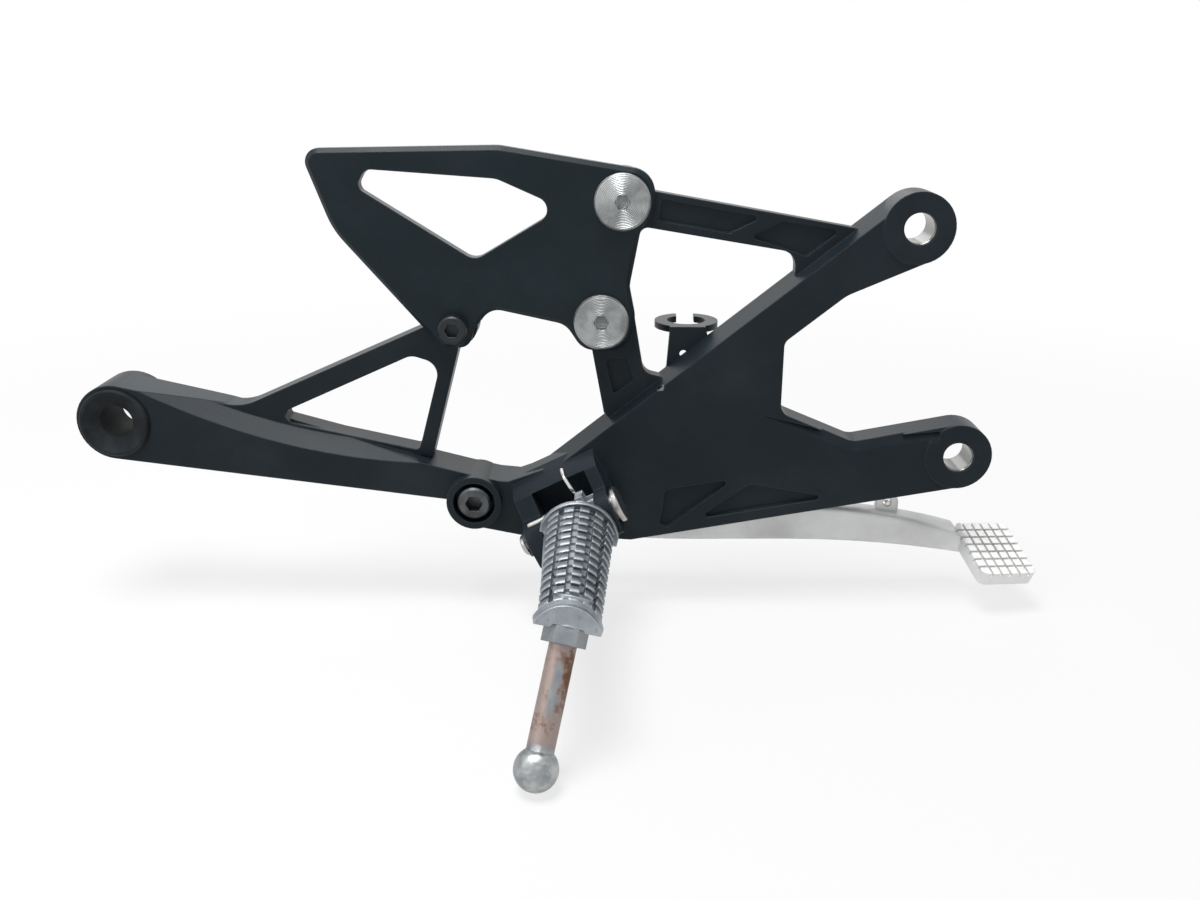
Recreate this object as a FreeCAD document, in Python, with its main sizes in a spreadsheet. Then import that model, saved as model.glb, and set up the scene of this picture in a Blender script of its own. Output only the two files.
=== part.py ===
import FreeCAD, Part
import Sketcher
import math
import os

# Right-hand rider footrest set: bracket, heel guard, folding peg and brake pedal.
# +X is forward on the bike, +Y inboard, +Z up. Depths count outboard, towards -Y.
# The origin is the upper frame bolt's axis on the bracket's mounting face.

sizes = {
    # frame lugs and the bracket's front half
    "upper_lug_radius": 13,
    "lower_lug_x": 23,
    "lower_lug_z": -87,
    "lower_lug_radius": 12.8,
    "frame_bore": 11,
    "bore_chamfer": 0.9,
    "lug_rim_rise": 0.8,
    "front_depth": 13,
    "rib_angle": 38.8,
    "rib_foot_x": -137,
    "rib_drop": 2.4,
    "upper_arm_angle": 24,
    "upper_arm_knee_x": -24.2,
    "upper_arm_knee_z": -24.6,
    "web_edge_x": -46,
    "web_edge_top_z": -42.2,
    "web_edge_low_z": -69.8,
    "lower_arm_knee_x": -17.4,
    "lower_arm_knee_z": -81.8,
    "lower_arm_angle": 9,
    "lower_arm_bevel": 4.2,
    "lower_arm_bevel_depth": 3,
    "belly_angle": 10.2,
    "belly_left_x": -102.5,
    "belly_left_z": -122.8,
    "web_recess_depth": 1.8,
    "back_pocket_depth": 7,
    # struts that carry the heel guard
    "strut_depth": 6,
    "guard_boss_radius": 11.6,
    "guard_boss_inset": 3,
    "strut_recess_depth": 1.6,
    # rear arm and lug
    "rear_lug_x": -302,
    "rear_lug_z": -75,
    "rear_lug_radius": 14.8,
    "rear_lug_inset": 9,
    "rear_arm_inset": 5,
    "rear_arm_top_angle": 14.8,
    "rear_arm_low_angle": 7.2,
    "rear_arm_knee_x": -262,
    "rear_arm_knee_z": -69,
    "rear_arm_waist_x": -181,
    "rear_bevel_drop": 6.4,
    "rear_bevel_depth": 8.5,
    "rear_strut_inset": 4,
    "rear_pocket_depth": 11,
    # rubber grommet in the rear lug
    "grommet_neck_radius": 10.5,
    "grommet_flange_radius": 13.4,
    "grommet_flange": 1.8,
    "grommet_hole_radius": 6.4,
    "grommet_dish": 3.2,
    # pedal pivot
    "pivot_x": -164,
    "pivot_z": -106.5,
    "pivot_boss_radius": 10.8,
    "pivot_boss_rise": 3,
    "pivot_cup_radius": 8.2,
    "pivot_cup_depth": 7.5,
    "pivot_bolt_radius": 4,
    "pivot_bolt_head_radius": 6.5,
    "pivot_bolt_head": 8,
    "pivot_bolt_key": 6,
    "bolt_clearance": 0.25,
    "pivot_recess": 8.5,
    "pivot_recess_radius": 9.3,
    "pivot_sleeve_radius": 5.2,
    "pivot_flange_radius": 6.4,
    "pivot_flange": 2.5,
    "thrust_washer": 1,
    "running_clearance": 0.05,
    "end_clearance": 0.3,
    "bush_wall": 1.2,
    # heel guard and its bolts
    "guard_thickness": 5,
    "guard_bevel": 1.6,
    "guard_upper_x": -106.7,
    "guard_upper_z": 9,
    "guard_lower_x": -114.3,
    "guard_lower_z": -34.9,
    "guard_foot_x": -169.6,
    "guard_foot_z": -37.6,
    "guard_foot_radius": 8.4,
    "guard_bolt_radius": 4,
    "guard_bolt_head_radius": 10.2,
    "guard_bolt_head": 3,
    "guard_bolt_key": 5,
    "guard_bolt_length": 16,
    "foot_screw_radius": 3,
    "foot_screw_head_radius": 5.3,
    "foot_screw_head": 5,
    "foot_screw_key": 5,
    "foot_screw_length": 13,
    # footpeg hinge
    "pin_x": -123.6,
    "pin_z": -110,
    "pin_depth": 26,
    "pin_angle": 26,
    "pin_radius": 4,
    "pin_head_radius": 7,
    "pin_head": 2.8,
    "pin_stub": 1.6,
    "clevis_gap": 22.5,
    "ear_front": 5,
    "ear_rear": 7.5,
    "ear_radius": 8.5,
    "clevis_roof": 16.6,
    "clevis_back": 13,
    "side_clearance": 0.3,
    "pin_washer_radius": 5.8,
    "pin_washer": 1.2,
    "clip_radius": 5.2,
    "clip": 1,
    "clip_groove_radius": 3,
    # footpeg
    "peg_x": -122.7,
    "peg_z": -112.8,
    "peg_depth": 34.9,
    "peg_roll": 12,
    "peg_length": 79,
    "peg_root_radius": 15,
    "peg_tip_radius": 11.8,
    "peg_skirt": 3,
    "peg_tip_shift": -1.65,
    "peg_tip_fan": 140,
    "peg_tip_skirt": 0.8,
    "peg_rim": 2.4,
    "peg_rim_fan": 150,
    "peg_lip": 3.2,
    "tooth_height": 2.3,
    "tooth_gap": 2.1,
    "tooth_fan": 116,
    "peg_eye_radius": 7.6,
    "peg_eye_width": 5.4,
    "peg_wall": 3.4,
    "peg_fin": 3,
    "peg_fin_height": 12.2,
    # feeler bolt
    "feeler_tilt": 30,
    "feeler_lean": 13.4,
    "feeler_inset": 6.6,
    "feeler_boss_radius": 6.6,
    "feeler_boss": 2.5,
    "feeler_hex": 12.4,
    "feeler_hex_height": 5.4,
    "feeler_shank_radius": 4.4,
    "feeler_shank": 30.8,
    "feeler_ball_radius": 7,
    "feeler_thread_radius": 4,
    "feeler_thread": 7,
    # return springs
    "peg_wire": 0.75,
    "peg_coil_radius": 5.6,
    "peg_coil_turns": 5,
    "pedal_wire": 0.8,
    "pedal_coil_radius": 4,
    "pedal_coil_turns": 12,
    "spring_post_x": -52,
    "spring_post_z": -86,
    "spring_post_radius": 2.6,
    "spring_line": 9,
    # brake pedal
    "hub_radius": 8.6,
    "hub_length": 11.5,
    "arm_line": 10.5,
    "arm_width": 9,
    "pad_width": 24,
    "pad_length": 29,
    "pad_thickness": 4.2,
    "pad_x": 40.5,
    "pad_z": -128.6,
    "pad_depth": 5,
    "pad_yaw": 14,
    "pad_tilt": 21,
    "pad_lean": 5,
    "pad_tooth": 1.7,
    "pad_gap": 1,
    "pushrod_x": -122,
    "pushrod_z": -107.5,
    "pushrod_eye_radius": 8,
    "pushrod_bore": 6.2,
    "pushrod_ear": 7,
    "tab_x": 3,
    "tab_z": -114.6,
    "tab_thickness": 3,
    "stop_x": -78,
    "stop_z": -109.3,
    "stop_radius": 4,
    "stop_reach": 16,
    # stop-switch stay
    "stay_thickness": 2.5,
    "stay_ring_x": -81.3,
    "stay_ring_z": -39.5,
    "stay_ring_radius": 12.4,
    "stay_ring_bore": 7.4,
    "stay_ring_gap": 7,
    "stay_hole_radius": 1.5,
    "stay_screw_x": -76,
    "stay_screw_z": -66,
    "stay_screw_radius": 3,
    "stay_screw_head_radius": 6,
    "stay_screw_head": 4,
    "stay_screw_length": 9,
}

doc = FreeCAD.newDocument("FootrestSet")
sheet = doc.addObject("Spreadsheet::Sheet", "Sizes")
for row, (name, value) in enumerate(sizes.items(), start=1):
    sheet.set("A%d" % row, name)
    sheet.set("B%d" % row, str(value))
    sheet.setAlias("B%d" % row, name)
doc.recompute()

nodes = []


def full(text):
    # "$name" stands for the sheet's cell of that name
    return str(text).replace("$", "Sizes.")


def value(text):
    return float(sheet.evalExpression(full(text)))


def tie(thing, prop, text):
    thing.setExpression(prop, full(text))


def set_place(thing, x, y, z, axis=(0, 0, 1), angle=None):
    turn = 0 if angle is None else value(angle)
    spot = FreeCAD.Vector(value(x), value(y), value(z))
    thing.Placement = FreeCAD.Placement(spot, FreeCAD.Rotation(FreeCAD.Vector(*axis), turn))
    tie(thing, "Placement.Base.x", x)
    tie(thing, "Placement.Base.y", y)
    tie(thing, "Placement.Base.z", z)
    if angle is not None:
        tie(thing, "Placement.Rotation.Angle", angle)


def new_body(label):
    body = doc.addObject("PartDesign::Body", label)
    body.Label = label
    nodes.append(body)
    return body


def new_sketch(body, plane, shift=("0", "0", "0"), axis=(0, 0, 1), angle=None):
    # a sketch on one of the body's own planes, moved and turned in that plane's frame
    sketch = body.newObject("Sketcher::SketchObject", "Sketch")
    base = [item for item in body.Origin.OriginFeatures if item.Role == plane][0]
    sketch.AttachmentSupport = [(base, "")]
    sketch.MapMode = "FlatFace"
    turn = 0 if angle is None else value(angle)
    spot = FreeCAD.Vector(*[value(part) for part in shift])
    sketch.AttachmentOffset = FreeCAD.Placement(spot, FreeCAD.Rotation(FreeCAD.Vector(*axis), turn))
    for letter, part in zip("xyz", shift):
        tie(sketch, "AttachmentOffset.Base." + letter, part)
    if angle is not None:
        tie(sketch, "AttachmentOffset.Rotation.Angle", angle)
    return sketch


def polygon(sketch, corners):
    # corners are (x, y) or (x, y, rounding), each a text over the sheet's cells
    first = sketch.GeometryCount
    count = len(corners)
    points = [FreeCAD.Vector(value(c[0]), value(c[1]), 0) for c in corners]
    for i in range(count):
        sketch.addGeometry(Part.LineSegment(points[i], points[(i + 1) % count]), False)
    for i in range(count):
        before = first + (i - 1) % count
        sketch.addConstraint(Sketcher.Constraint("Coincident", before, 2, first + i, 1))
    for i in range(count):
        for kind, k in (("DistanceX", 0), ("DistanceY", 1)):
            rule = Sketcher.Constraint(kind, -1, 1, first + i, 1, points[i][k])
            number = sketch.addConstraint(rule)
            tie(sketch, "Constraints[%d]" % number, corners[i][k])
    for i in range(count):
        if len(corners[i]) > 2:
            arc = sketch.GeometryCount
            sketch.fillet(first + i, 1, value(corners[i][2]), True, True)
            number = sketch.addConstraint(Sketcher.Constraint("Radius", arc, value(corners[i][2])))
            tie(sketch, "Constraints[%d]" % number, corners[i][2])


def circle(sketch, x, y, radius):
    centre = FreeCAD.Vector(value(x), value(y), 0)
    ring = Part.Circle(centre, FreeCAD.Vector(0, 0, 1), value(radius))
    item = sketch.addGeometry(ring, False)
    for kind, text, amount in (("DistanceX", x, centre.x), ("DistanceY", y, centre.y)):
        number = sketch.addConstraint(Sketcher.Constraint(kind, -1, 1, item, 3, amount))
        tie(sketch, "Constraints[%d]" % number, text)
    number = sketch.addConstraint(Sketcher.Constraint("Radius", item, value(radius)))
    tie(sketch, "Constraints[%d]" % number, radius)


def hexagon(sketch, across):
    corners = []
    for k in range(6):
        reach = "%s / sqrt(3)" % across
        corners.append(("%s * cos(%d)" % (reach, 60 * k), "%s * sin(%d)" % (reach, 60 * k)))
    polygon(sketch, corners)


def pad(body, sketch, length, reverse=False):
    feature = body.newObject("PartDesign::Pad", "Pad")
    feature.Profile = sketch
    feature.Reversed = reverse
    tie(feature, "Length", length)
    return feature


def pocket(body, sketch, length, reverse=False):
    feature = body.newObject("PartDesign::Pocket", "Pocket")
    feature.Profile = sketch
    feature.Reversed = reverse
    tie(feature, "Length", length)
    return feature


def loft(body, sections, kind="PartDesign::AdditiveLoft", ruled=False):
    feature = body.newObject(kind, "Loft")
    feature.Profile = sections[0]
    feature.Sections = sections[1:]
    feature.Ruled = ruled
    return feature


def rod(body, radius, length, x, y, z, cut=False, axis=(1, 0, 0), angle="90"):
    # a round boss or hole; unturned it runs along +Z, by default it runs outboard from y
    kind = "PartDesign::SubtractiveCylinder" if cut else "PartDesign::AdditiveCylinder"
    feature = body.newObject(kind, "Rod")
    tie(feature, "Radius", radius)
    tie(feature, "Height", length)
    set_place(feature, x, y, z, axis, angle)
    return feature


def turned(label, corners):
    # a turned piece: corners are (radius, height) about the body's own Z axis
    body = new_body(label)
    sketch = new_sketch(body, "XZ_Plane")
    polygon(sketch, corners)
    feature = body.newObject("PartDesign::Revolution", "Turned")
    feature.Profile = sketch
    feature.ReferenceAxis = (sketch, ["V_Axis"])
    feature.Angle = 360
    return body


def ear_sketch(body):
    # sketch across the footpeg's pin: x is global Y, y is up across the pin, normal along the pin
    return new_sketch(body, "YZ_Plane", ("0", "$pin_z", "$pin_x"), (1, 0, 0), "-$pin_angle")


def pin_sketch(body, depth):
    # sketch facing outboard at a depth, x along the footpeg's pin
    return new_sketch(body, "XZ_Plane", ("$pin_x", "$pin_z", depth), (0, 0, 1), "$pin_angle")


def make_bracket():
    body = new_body("footrest_bracket")

    # rib, web and the two arms to the frame lugs
    rib_top_x = "-$upper_lug_radius * sin($rib_angle)"
    rib_top_z = "$upper_lug_radius * cos($rib_angle)"
    rib_foot_z = "%s + ($rib_foot_x - (%s)) * tan($rib_angle)" % (rib_top_z, rib_top_x)
    sketch = new_sketch(body, "XZ_Plane")
    polygon(sketch, [
        (rib_top_x, rib_top_z),
        ("$rib_foot_x", rib_foot_z, "6"),
        ("$pivot_x + 12", "$pivot_z + 7.6"),
        ("$pivot_x + 12", "$pivot_z - 13.5"),
        ("$belly_left_x", "$belly_left_z"),
        ("$lower_lug_x + $lower_lug_radius * sin($belly_angle)",
         "$lower_lug_z - $lower_lug_radius * cos($belly_angle)"),
        ("$lower_lug_x - $lower_lug_radius * sin($lower_arm_angle)",
         "$lower_lug_z + $lower_lug_radius * cos($lower_arm_angle)"),
        ("$lower_arm_knee_x", "$lower_arm_knee_z", "7"),
        ("$web_edge_x", "$web_edge_low_z", "5"),
        ("$web_edge_x", "$web_edge_top_z", "4"),
        ("$upper_arm_knee_x", "$upper_arm_knee_z", "14"),
        ("$upper_lug_radius * sin($upper_arm_angle)", "-$upper_lug_radius * cos($upper_arm_angle)"),
    ])
    pad(body, sketch, "$front_depth")

    # sloping top of the rib: a slab turned to lie on the drawn slope takes its front edge off
    slab = body.newObject("PartDesign::SubtractiveBox", "RibSlope")
    run = "(%s - $rib_foot_x) / cos($rib_angle)" % rib_top_x
    tie(slab, "Length", run)
    tie(slab, "Width", "40")
    tie(slab, "Height", "20")
    slope = math.degrees(math.atan2(value("$rib_drop"), value("$front_depth")))
    lie = FreeCAD.Rotation(FreeCAD.Vector(0, 1, 0), -value("$rib_angle"))
    lie = lie.multiply(FreeCAD.Rotation(FreeCAD.Vector(1, 0, 0), slope))
    along = FreeCAD.Vector(math.cos(math.radians(value("$rib_angle"))), 0,
                           math.sin(math.radians(value("$rib_angle"))))
    start = FreeCAD.Vector(value(rib_top_x), 0, value(rib_top_z)) - along * value(run)
    back = lie.multVec(FreeCAD.Vector(0, 40, 0))
    slab.Placement = FreeCAD.Placement(start - back, lie)

    # struts under the heel guard: top strut and upright meet at the two guard bolts
    sketch = new_sketch(body, "XZ_Plane")
    polygon(sketch, [
        ("$guard_upper_x + 3", "$guard_upper_z + 4.6"),
        ("-18", "-1.6"),
        ("-42.5", "-22"),
        ("-42.6", "-10", "6"),
        ("$guard_upper_x + 7", "$guard_upper_z - 9.6", "3"),
        ("$guard_lower_x + 10.3", "$guard_lower_z + 11.5", "14"),
        ("$guard_lower_x + 12.4", "$guard_lower_z + 0.5", "8"),
        ("-98.2", "-56", "5"),
        ("-90", "-58"),
        ("-108", "-78"),
        ("-113.4", "-72"),
        ("$guard_lower_x - 4", "$guard_lower_z - 10"),
        ("$guard_lower_x - 7", "$guard_lower_z + 20"),
        ("$guard_upper_x - 8", "$guard_upper_z"),
    ])
    pad(body, sketch, "$strut_depth")
    for spot in ("upper", "lower"):
        rod(body, "$guard_boss_radius", "$strut_depth + $guard_boss_inset",
            "$guard_%s_x" % spot, "$guard_boss_inset", "$guard_%s_z" % spot)

    # lugs
    rod(body, "$upper_lug_radius", "$front_depth + $lug_rim_rise", "0", "0", "0")
    rod(body, "$lower_lug_radius", "$front_depth + $lug_rim_rise", "$lower_lug_x", "0", "$lower_lug_z")

    # rear arm with its lug
    top_x = "$rear_lug_x + $rear_lug_radius * sin($rear_arm_top_angle)"
    top_z = "$rear_lug_z + $rear_lug_radius * cos($rear_arm_top_angle)"
    waist_z = "%s - ($rear_arm_waist_x - (%s)) * tan($rear_arm_top_angle)" % (top_z, top_x)
    low_x = "$rear_lug_x - $rear_lug_radius * sin($rear_arm_low_angle)"
    low_z = "$rear_lug_z - $rear_lug_radius * cos($rear_arm_low_angle)"
    heel_z = "%s - ($pivot_x - 9 - (%s)) * tan($rear_arm_low_angle)" % (low_z, low_x)
    sketch = new_sketch(body, "XZ_Plane", ("0", "0", "-$rear_arm_inset"))
    polygon(sketch, [
        (top_x, top_z),
        ("$rear_arm_knee_x", "$rear_arm_knee_z", "30"),
        ("$rear_arm_waist_x", waist_z),
        ("$pivot_x - 2", "$pivot_z + 11", "8"),
        ("$pivot_x + 9", "$pivot_z + 8.4", "8"),
        ("$pivot_x + 20", "$pivot_z + 7.4"),
        ("$pivot_x + 20", "$pivot_z - 15"),
        ("$pivot_x + 3", "$pivot_z - 11.6"),
        ("$pivot_x - 9", heel_z),
        (low_x, low_z),
    ])
    pad(body, sketch, "$rear_arm_inset + $front_depth")
    rod(body, "$rear_lug_radius", "$rear_lug_inset + $front_depth",
        "$rear_lug_x", "$rear_lug_inset", "$rear_lug_z")
    rod(body, "$pivot_boss_radius", "$rear_arm_inset + $front_depth + $pivot_boss_rise",
        "$pivot_x", "$rear_arm_inset", "$pivot_z")

    # bevel along the rear arm's front top edge, deepest in the middle
    sections = []
    for share, depth in ((0.06, 0.12), (0.5, 1), (0.98, 0.1)):
        spot = "(%s) + ($rear_arm_waist_x - (%s)) * %s" % (top_x, top_x, share)
        edge = "(%s) + ((%s) - (%s)) * %s" % (top_z, waist_z, top_z, share)
        sketch = new_sketch(body, "YZ_Plane", ("0", "0", spot))
        rise = "(1 + ($rear_bevel_drop + 0.8) * %s)" % depth
        reach = "(1 + ($rear_bevel_depth + 1) * %s)" % depth
        polygon(sketch, [
            ("-$front_depth - 1", "%s + 2" % edge),
            ("-$front_depth - 1", "%s + 1 - %s" % (edge, rise)),
            ("-$front_depth - 1 + %s * (%s + 1) / %s" % (reach, rise, rise), "%s + 2" % edge),
        ])
        sections.append(sketch)
    loft(body, sections, "PartDesign::SubtractiveLoft")

    # rear strut and its upright, from the arm to the guard's foot
    sketch = new_sketch(body, "XZ_Plane", ("0", "0", "-$rear_strut_inset"))
    polygon(sketch, [
        ("$rear_arm_knee_x - 6", "$rear_arm_knee_z + 1"),
        ("$rear_arm_knee_x + 7.5", "$rear_arm_knee_z - 1.6", "18"),
        ("$guard_foot_x - 13.5", "$guard_foot_z - 1.5"),
        ("$guard_foot_x + 1", "$guard_foot_z + 6"),
        ("$guard_foot_x + 0.6", "$guard_foot_z - 9.6", "2"),
        ("$rear_arm_waist_x", "-91"),
        ("$rear_arm_waist_x - 60", "-79"),
        ("$rear_arm_knee_x - 6", "$rear_arm_knee_z - 5"),
    ])
    polygon(sketch, [
        ("-240", "-73.2", "2.5"),
        ("$guard_foot_x - 17.6", "$guard_foot_z - 12", "6"),
        ("$guard_foot_x - 6.6", "$guard_foot_z - 15.5", "6"),
        ("$rear_arm_waist_x - 5", "-88", "2"),
        ("-236", "-77"),
    ])
    pad(body, sketch, "$strut_depth + $rear_strut_inset")
    rod(body, "$guard_foot_radius", "$strut_depth + $rear_strut_inset",
        "$guard_foot_x", "$rear_strut_inset", "$guard_foot_z")

    # clevis block with the ears for the footpeg's pin
    width = "$ear_rear + $clevis_gap + $ear_front"
    sketch = new_sketch(body, "YZ_Plane", ("0", "$pin_z", "$pin_x"), (1, 0, 0), "-$pin_angle")
    tie(sketch, "AttachmentOffset.Base.y",
        "$pin_z - ($clevis_gap / 2 + $ear_rear) * sin($pin_angle)")
    tie(sketch, "AttachmentOffset.Base.z",
        "$pin_x - ($clevis_gap / 2 + $ear_rear) * cos($pin_angle)")
    polygon(sketch, [
        ("-1", "-$ear_radius"),
        ("-1", "$clevis_roof + 5"),
        ("-9", "$clevis_roof + 5"),
        ("-$pin_depth + 4", "$clevis_roof"),
        ("-$pin_depth + 1", "$ear_radius"),
        ("-$pin_depth - $ear_radius", "$ear_radius", "$ear_radius - 0.1"),
        ("-$pin_depth - $ear_radius", "-$ear_radius", "1.5"),
    ])
    pad(body, sketch, width)
    sketch = pin_sketch(body, "$clevis_back")
    polygon(sketch, [
        ("-$clevis_gap / 2", "-34"),
        ("$clevis_gap / 2", "-34"),
        ("$clevis_gap / 2", "$clevis_roof"),
        ("-$clevis_gap / 2", "$clevis_roof"),
    ])
    pocket(body, sketch, "40", True)
    sketch = ear_sketch(body)
    circle(sketch, "-$pin_depth", "0", "$pin_radius + $running_clearance")
    pocket(body, sketch, "40")
    sketch = ear_sketch(body)
    circle(sketch, "-$pin_depth", "0", "$pin_radius + $running_clearance")
    pocket(body, sketch, "40", True)

    # shallow cast recesses in the web, the top strut and the upright
    sketch = new_sketch(body, "XZ_Plane", ("0", "0", "$front_depth"))
    polygon(sketch, [
        ("-91.2", "-115.6", "1.5"),
        ("-89.4", "-101.4", "2.5"),
        ("-62.6", "-96.8", "1.2"),
        ("-88.4", "-117.4", "1.2"),
    ])
    polygon(sketch, [
        ("-77", "-113.8", "1.2"),
        ("-56.4", "-98.8", "4"),
        ("-24.6", "-104.3", "1"),
    ])
    pocket(body, sketch, "$web_recess_depth")
    sketch = new_sketch(body, "XZ_Plane", ("0", "0", "$strut_depth"))
    polygon(sketch, [
        ("-92.6", "9.4", "1.5"),
        ("-55.6", "2.9", "1"),
        ("-67.4", "-3", "1"),
        ("-93.4", "1.6", "1.5"),
    ])
    polygon(sketch, [
        ("-60", "-4.2", "1"),
        ("-47.5", "1.4", "1"),
        ("-27", "-2", "1"),
        ("-38.6", "-11.4", "1"),
    ])
    polygon(sketch, [
        ("-112.6", "-51", "1"),
        ("-104.4", "-50", "1"),
        ("-102", "-58.6", "1"),
        ("-109.6", "-64.6", "1"),
    ])
    pocket(body, sketch, "$strut_recess_depth")

    # hollows on the inboard side: rear arm and lower web
    sketch = new_sketch(body, "XZ_Plane", ("0", "0", "-$rear_arm_inset"))
    polygon(sketch, [
        ("$rear_lug_x + 22", "$rear_lug_z + 4", "4"),
        ("$rear_arm_waist_x - 6", "$pivot_z + 11.6", "3"),
        ("$rear_arm_waist_x - 6", "$pivot_z + 4.6", "3"),
        ("$rear_lug_x + 22", "$rear_lug_z - 13", "4"),
    ])
    pocket(body, sketch, "$rear_pocket_depth", True)
    sketch = new_sketch(body, "XZ_Plane")
    polygon(sketch, [
        ("-94", "-84", "4"),
        ("-62", "-77", "4"),
        ("-60", "-107", "4"),
        ("-94", "-113", "4"),
    ])
    pocket(body, sketch, "$back_pocket_depth", True)

    # bevel on the lower arm's front top edge
    sections = []
    ends = (("$web_edge_x - 6", "$web_edge_low_z - 3", 0.2),
            ("$lower_arm_knee_x", "$lower_arm_knee_z", 1),
            ("$lower_lug_x - 8", "$lower_lug_z + 8", 0.5))
    for spot, edge, depth in ends:
        sketch = new_sketch(body, "YZ_Plane", ("0", "0", spot))
        polygon(sketch, [
            ("-$front_depth - 1", "%s + 2" % edge),
            ("-$front_depth - 1", "%s - ($lower_arm_bevel + 1) * %s" % (edge, depth)),
            ("-$front_depth + $lower_arm_bevel_depth * %s" % depth, "%s + 2" % edge),
        ])
        sections.append(sketch)
    loft(body, sections, "PartDesign::SubtractiveLoft", True)

    # post for the pedal's spring and the pedal's upper stop, both cast on the inboard side
    rod(body, "$spring_post_radius", "$spring_line + 4", "$spring_post_x", "$spring_line + 4",
        "$spring_post_z")
    rod(body, "$stop_radius", "$stop_reach + $back_pocket_depth + 1", "$stop_x", "$stop_reach", "$stop_z")

    # bores: frame lugs, rear lug, pivot, guard bolts and stay screw
    for x, z in (("0", "0"), ("$lower_lug_x", "$lower_lug_z")):
        rod(body, "$frame_bore / 2", "40", x, "15", z, True)
        mouth = body.newObject("PartDesign::SubtractiveCone", "Mouth")
        tie(mouth, "Radius1", "$frame_bore / 2 - 0.1")
        tie(mouth, "Radius2", "$frame_bore / 2 + $bore_chamfer")
        tie(mouth, "Height", "$bore_chamfer + 0.1")
        set_place(mouth, x, "-$front_depth - $lug_rim_rise + $bore_chamfer", z, (1, 0, 0), "90")
    rod(body, "$grommet_neck_radius", "60", "$rear_lug_x", "30", "$rear_lug_z", True)
    rod(body, "$pivot_bolt_radius + $bolt_clearance", "60", "$pivot_x", "30", "$pivot_z", True)
    rod(body, "$pivot_recess_radius", "$pivot_recess + 1", "$pivot_x", "$rear_arm_inset + 1", "$pivot_z", True)
    rod(body, "$pivot_cup_radius", "30", "$pivot_x",
        "-$front_depth - $pivot_boss_rise + $pivot_cup_depth", "$pivot_z", True)
    for spot in ("upper", "lower"):
        rod(body, "$guard_bolt_radius", "40", "$guard_%s_x" % spot, "20", "$guard_%s_z" % spot, True)
    rod(body, "$foot_screw_radius", "40", "$guard_foot_x", "20", "$guard_foot_z", True)
    rod(body, "$stay_screw_radius + $running_clearance", "$stay_screw_length - $stay_thickness + 0.5",
        "$stay_screw_x", "0", "$stay_screw_z", True)
    return body


def make_guard():
    body = new_body("heel_guard")
    sketch = new_sketch(body, "XZ_Plane", ("0", "0", "$strut_depth"))
    polygon(sketch, [
        ("-222.6", "27.2", "5"),
        ("-151", "28.4", "20"),
        ("$guard_upper_x + 11.6", "$guard_upper_z + 10.4", "9"),
        ("$guard_upper_x + 11.9", "$guard_upper_z - 3", "7"),
        ("$guard_upper_x + 6", "$guard_upper_z - 12", "6"),
        ("$guard_lower_x + 10.2", "$guard_lower_z + 14", "16"),
        ("$guard_lower_x + 12.6", "$guard_lower_z + 2", "8"),
        ("$guard_lower_x + 11", "$guard_lower_z - 11.6", "9"),
        ("$guard_lower_x - 7", "$guard_lower_z - 11.4", "8"),
        ("$guard_lower_x - 13.4", "$guard_lower_z - 1.6", "8"),
        ("$guard_foot_x + 14", "$guard_foot_z + 7.2", "7"),
        ("$guard_foot_x + 7.4", "$guard_foot_z - 1", "5"),
        ("$guard_foot_x + 5.4", "$guard_foot_z - 8", "5"),
        ("$guard_foot_x - 4", "$guard_foot_z - 8", "5"),
        ("$guard_foot_x - 12.4", "$guard_foot_z + 0.6", "4"),
        ("-212.5", "-1.5", "30"),
    ])
    polygon(sketch, [
        ("-199", "20.2", "4"),
        ("-152", "16.9", "10"),
        ("-128.6", "6.6", "4.5"),
        ("-160.8", "-12.4", "6"),
        ("-202.6", "13.8", "3"),
    ])
    pad(body, sketch, "$guard_thickness")
    for spot in ("upper", "lower"):
        rod(body, "$guard_bolt_radius + $bolt_clearance", "40", "$guard_%s_x" % spot, "20",
            "$guard_%s_z" % spot, True)
    rod(body, "$foot_screw_radius + $bolt_clearance", "40", "$guard_foot_x", "20", "$guard_foot_z",
        True)
    doc.recompute()
    # the outboard outer edge is bevelled all round
    front = -value("$strut_depth + $guard_thickness")
    faces = [face for face in body.Shape.Faces if abs(face.BoundBox.YMax - front) < 1e-4]
    rim = faces[0].OuterWire.Edges
    edges = []
    for number, edge in enumerate(body.Shape.Edges, start=1):
        if any(edge.isSame(other) for other in rim):
            edges.append("Edge%d" % number)
    plate = body.Tip
    bevel = body.newObject("PartDesign::Chamfer", "Bevel")
    bevel.Base = (plate, edges)
    tie(bevel, "Size", "$guard_bevel")
    body.Tip = bevel
    return body


def make_screw(label, radius, length, head_radius, head, key, crown="0.6"):
    # the head's seat is at height 0, the shank runs down, the hexagon socket opens upwards
    body = turned(label, [
        ("0", "-(%s)" % length),
        ("%s - 0.6" % radius, "-(%s)" % length),
        (radius, "-(%s) + 0.6" % length),
        (radius, "0"),
        (head_radius, "0"),
        (head_radius, "%s - %s" % (head, crown)),
        ("%s - %s" % (head_radius, crown), head),
        ("0", head),
    ])
    sketch = new_sketch(body, "XY_Plane", ("0", "0", head))
    hexagon(sketch, key)
    pocket(body, sketch, "%s * 0.6" % head)
    return body


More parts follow.
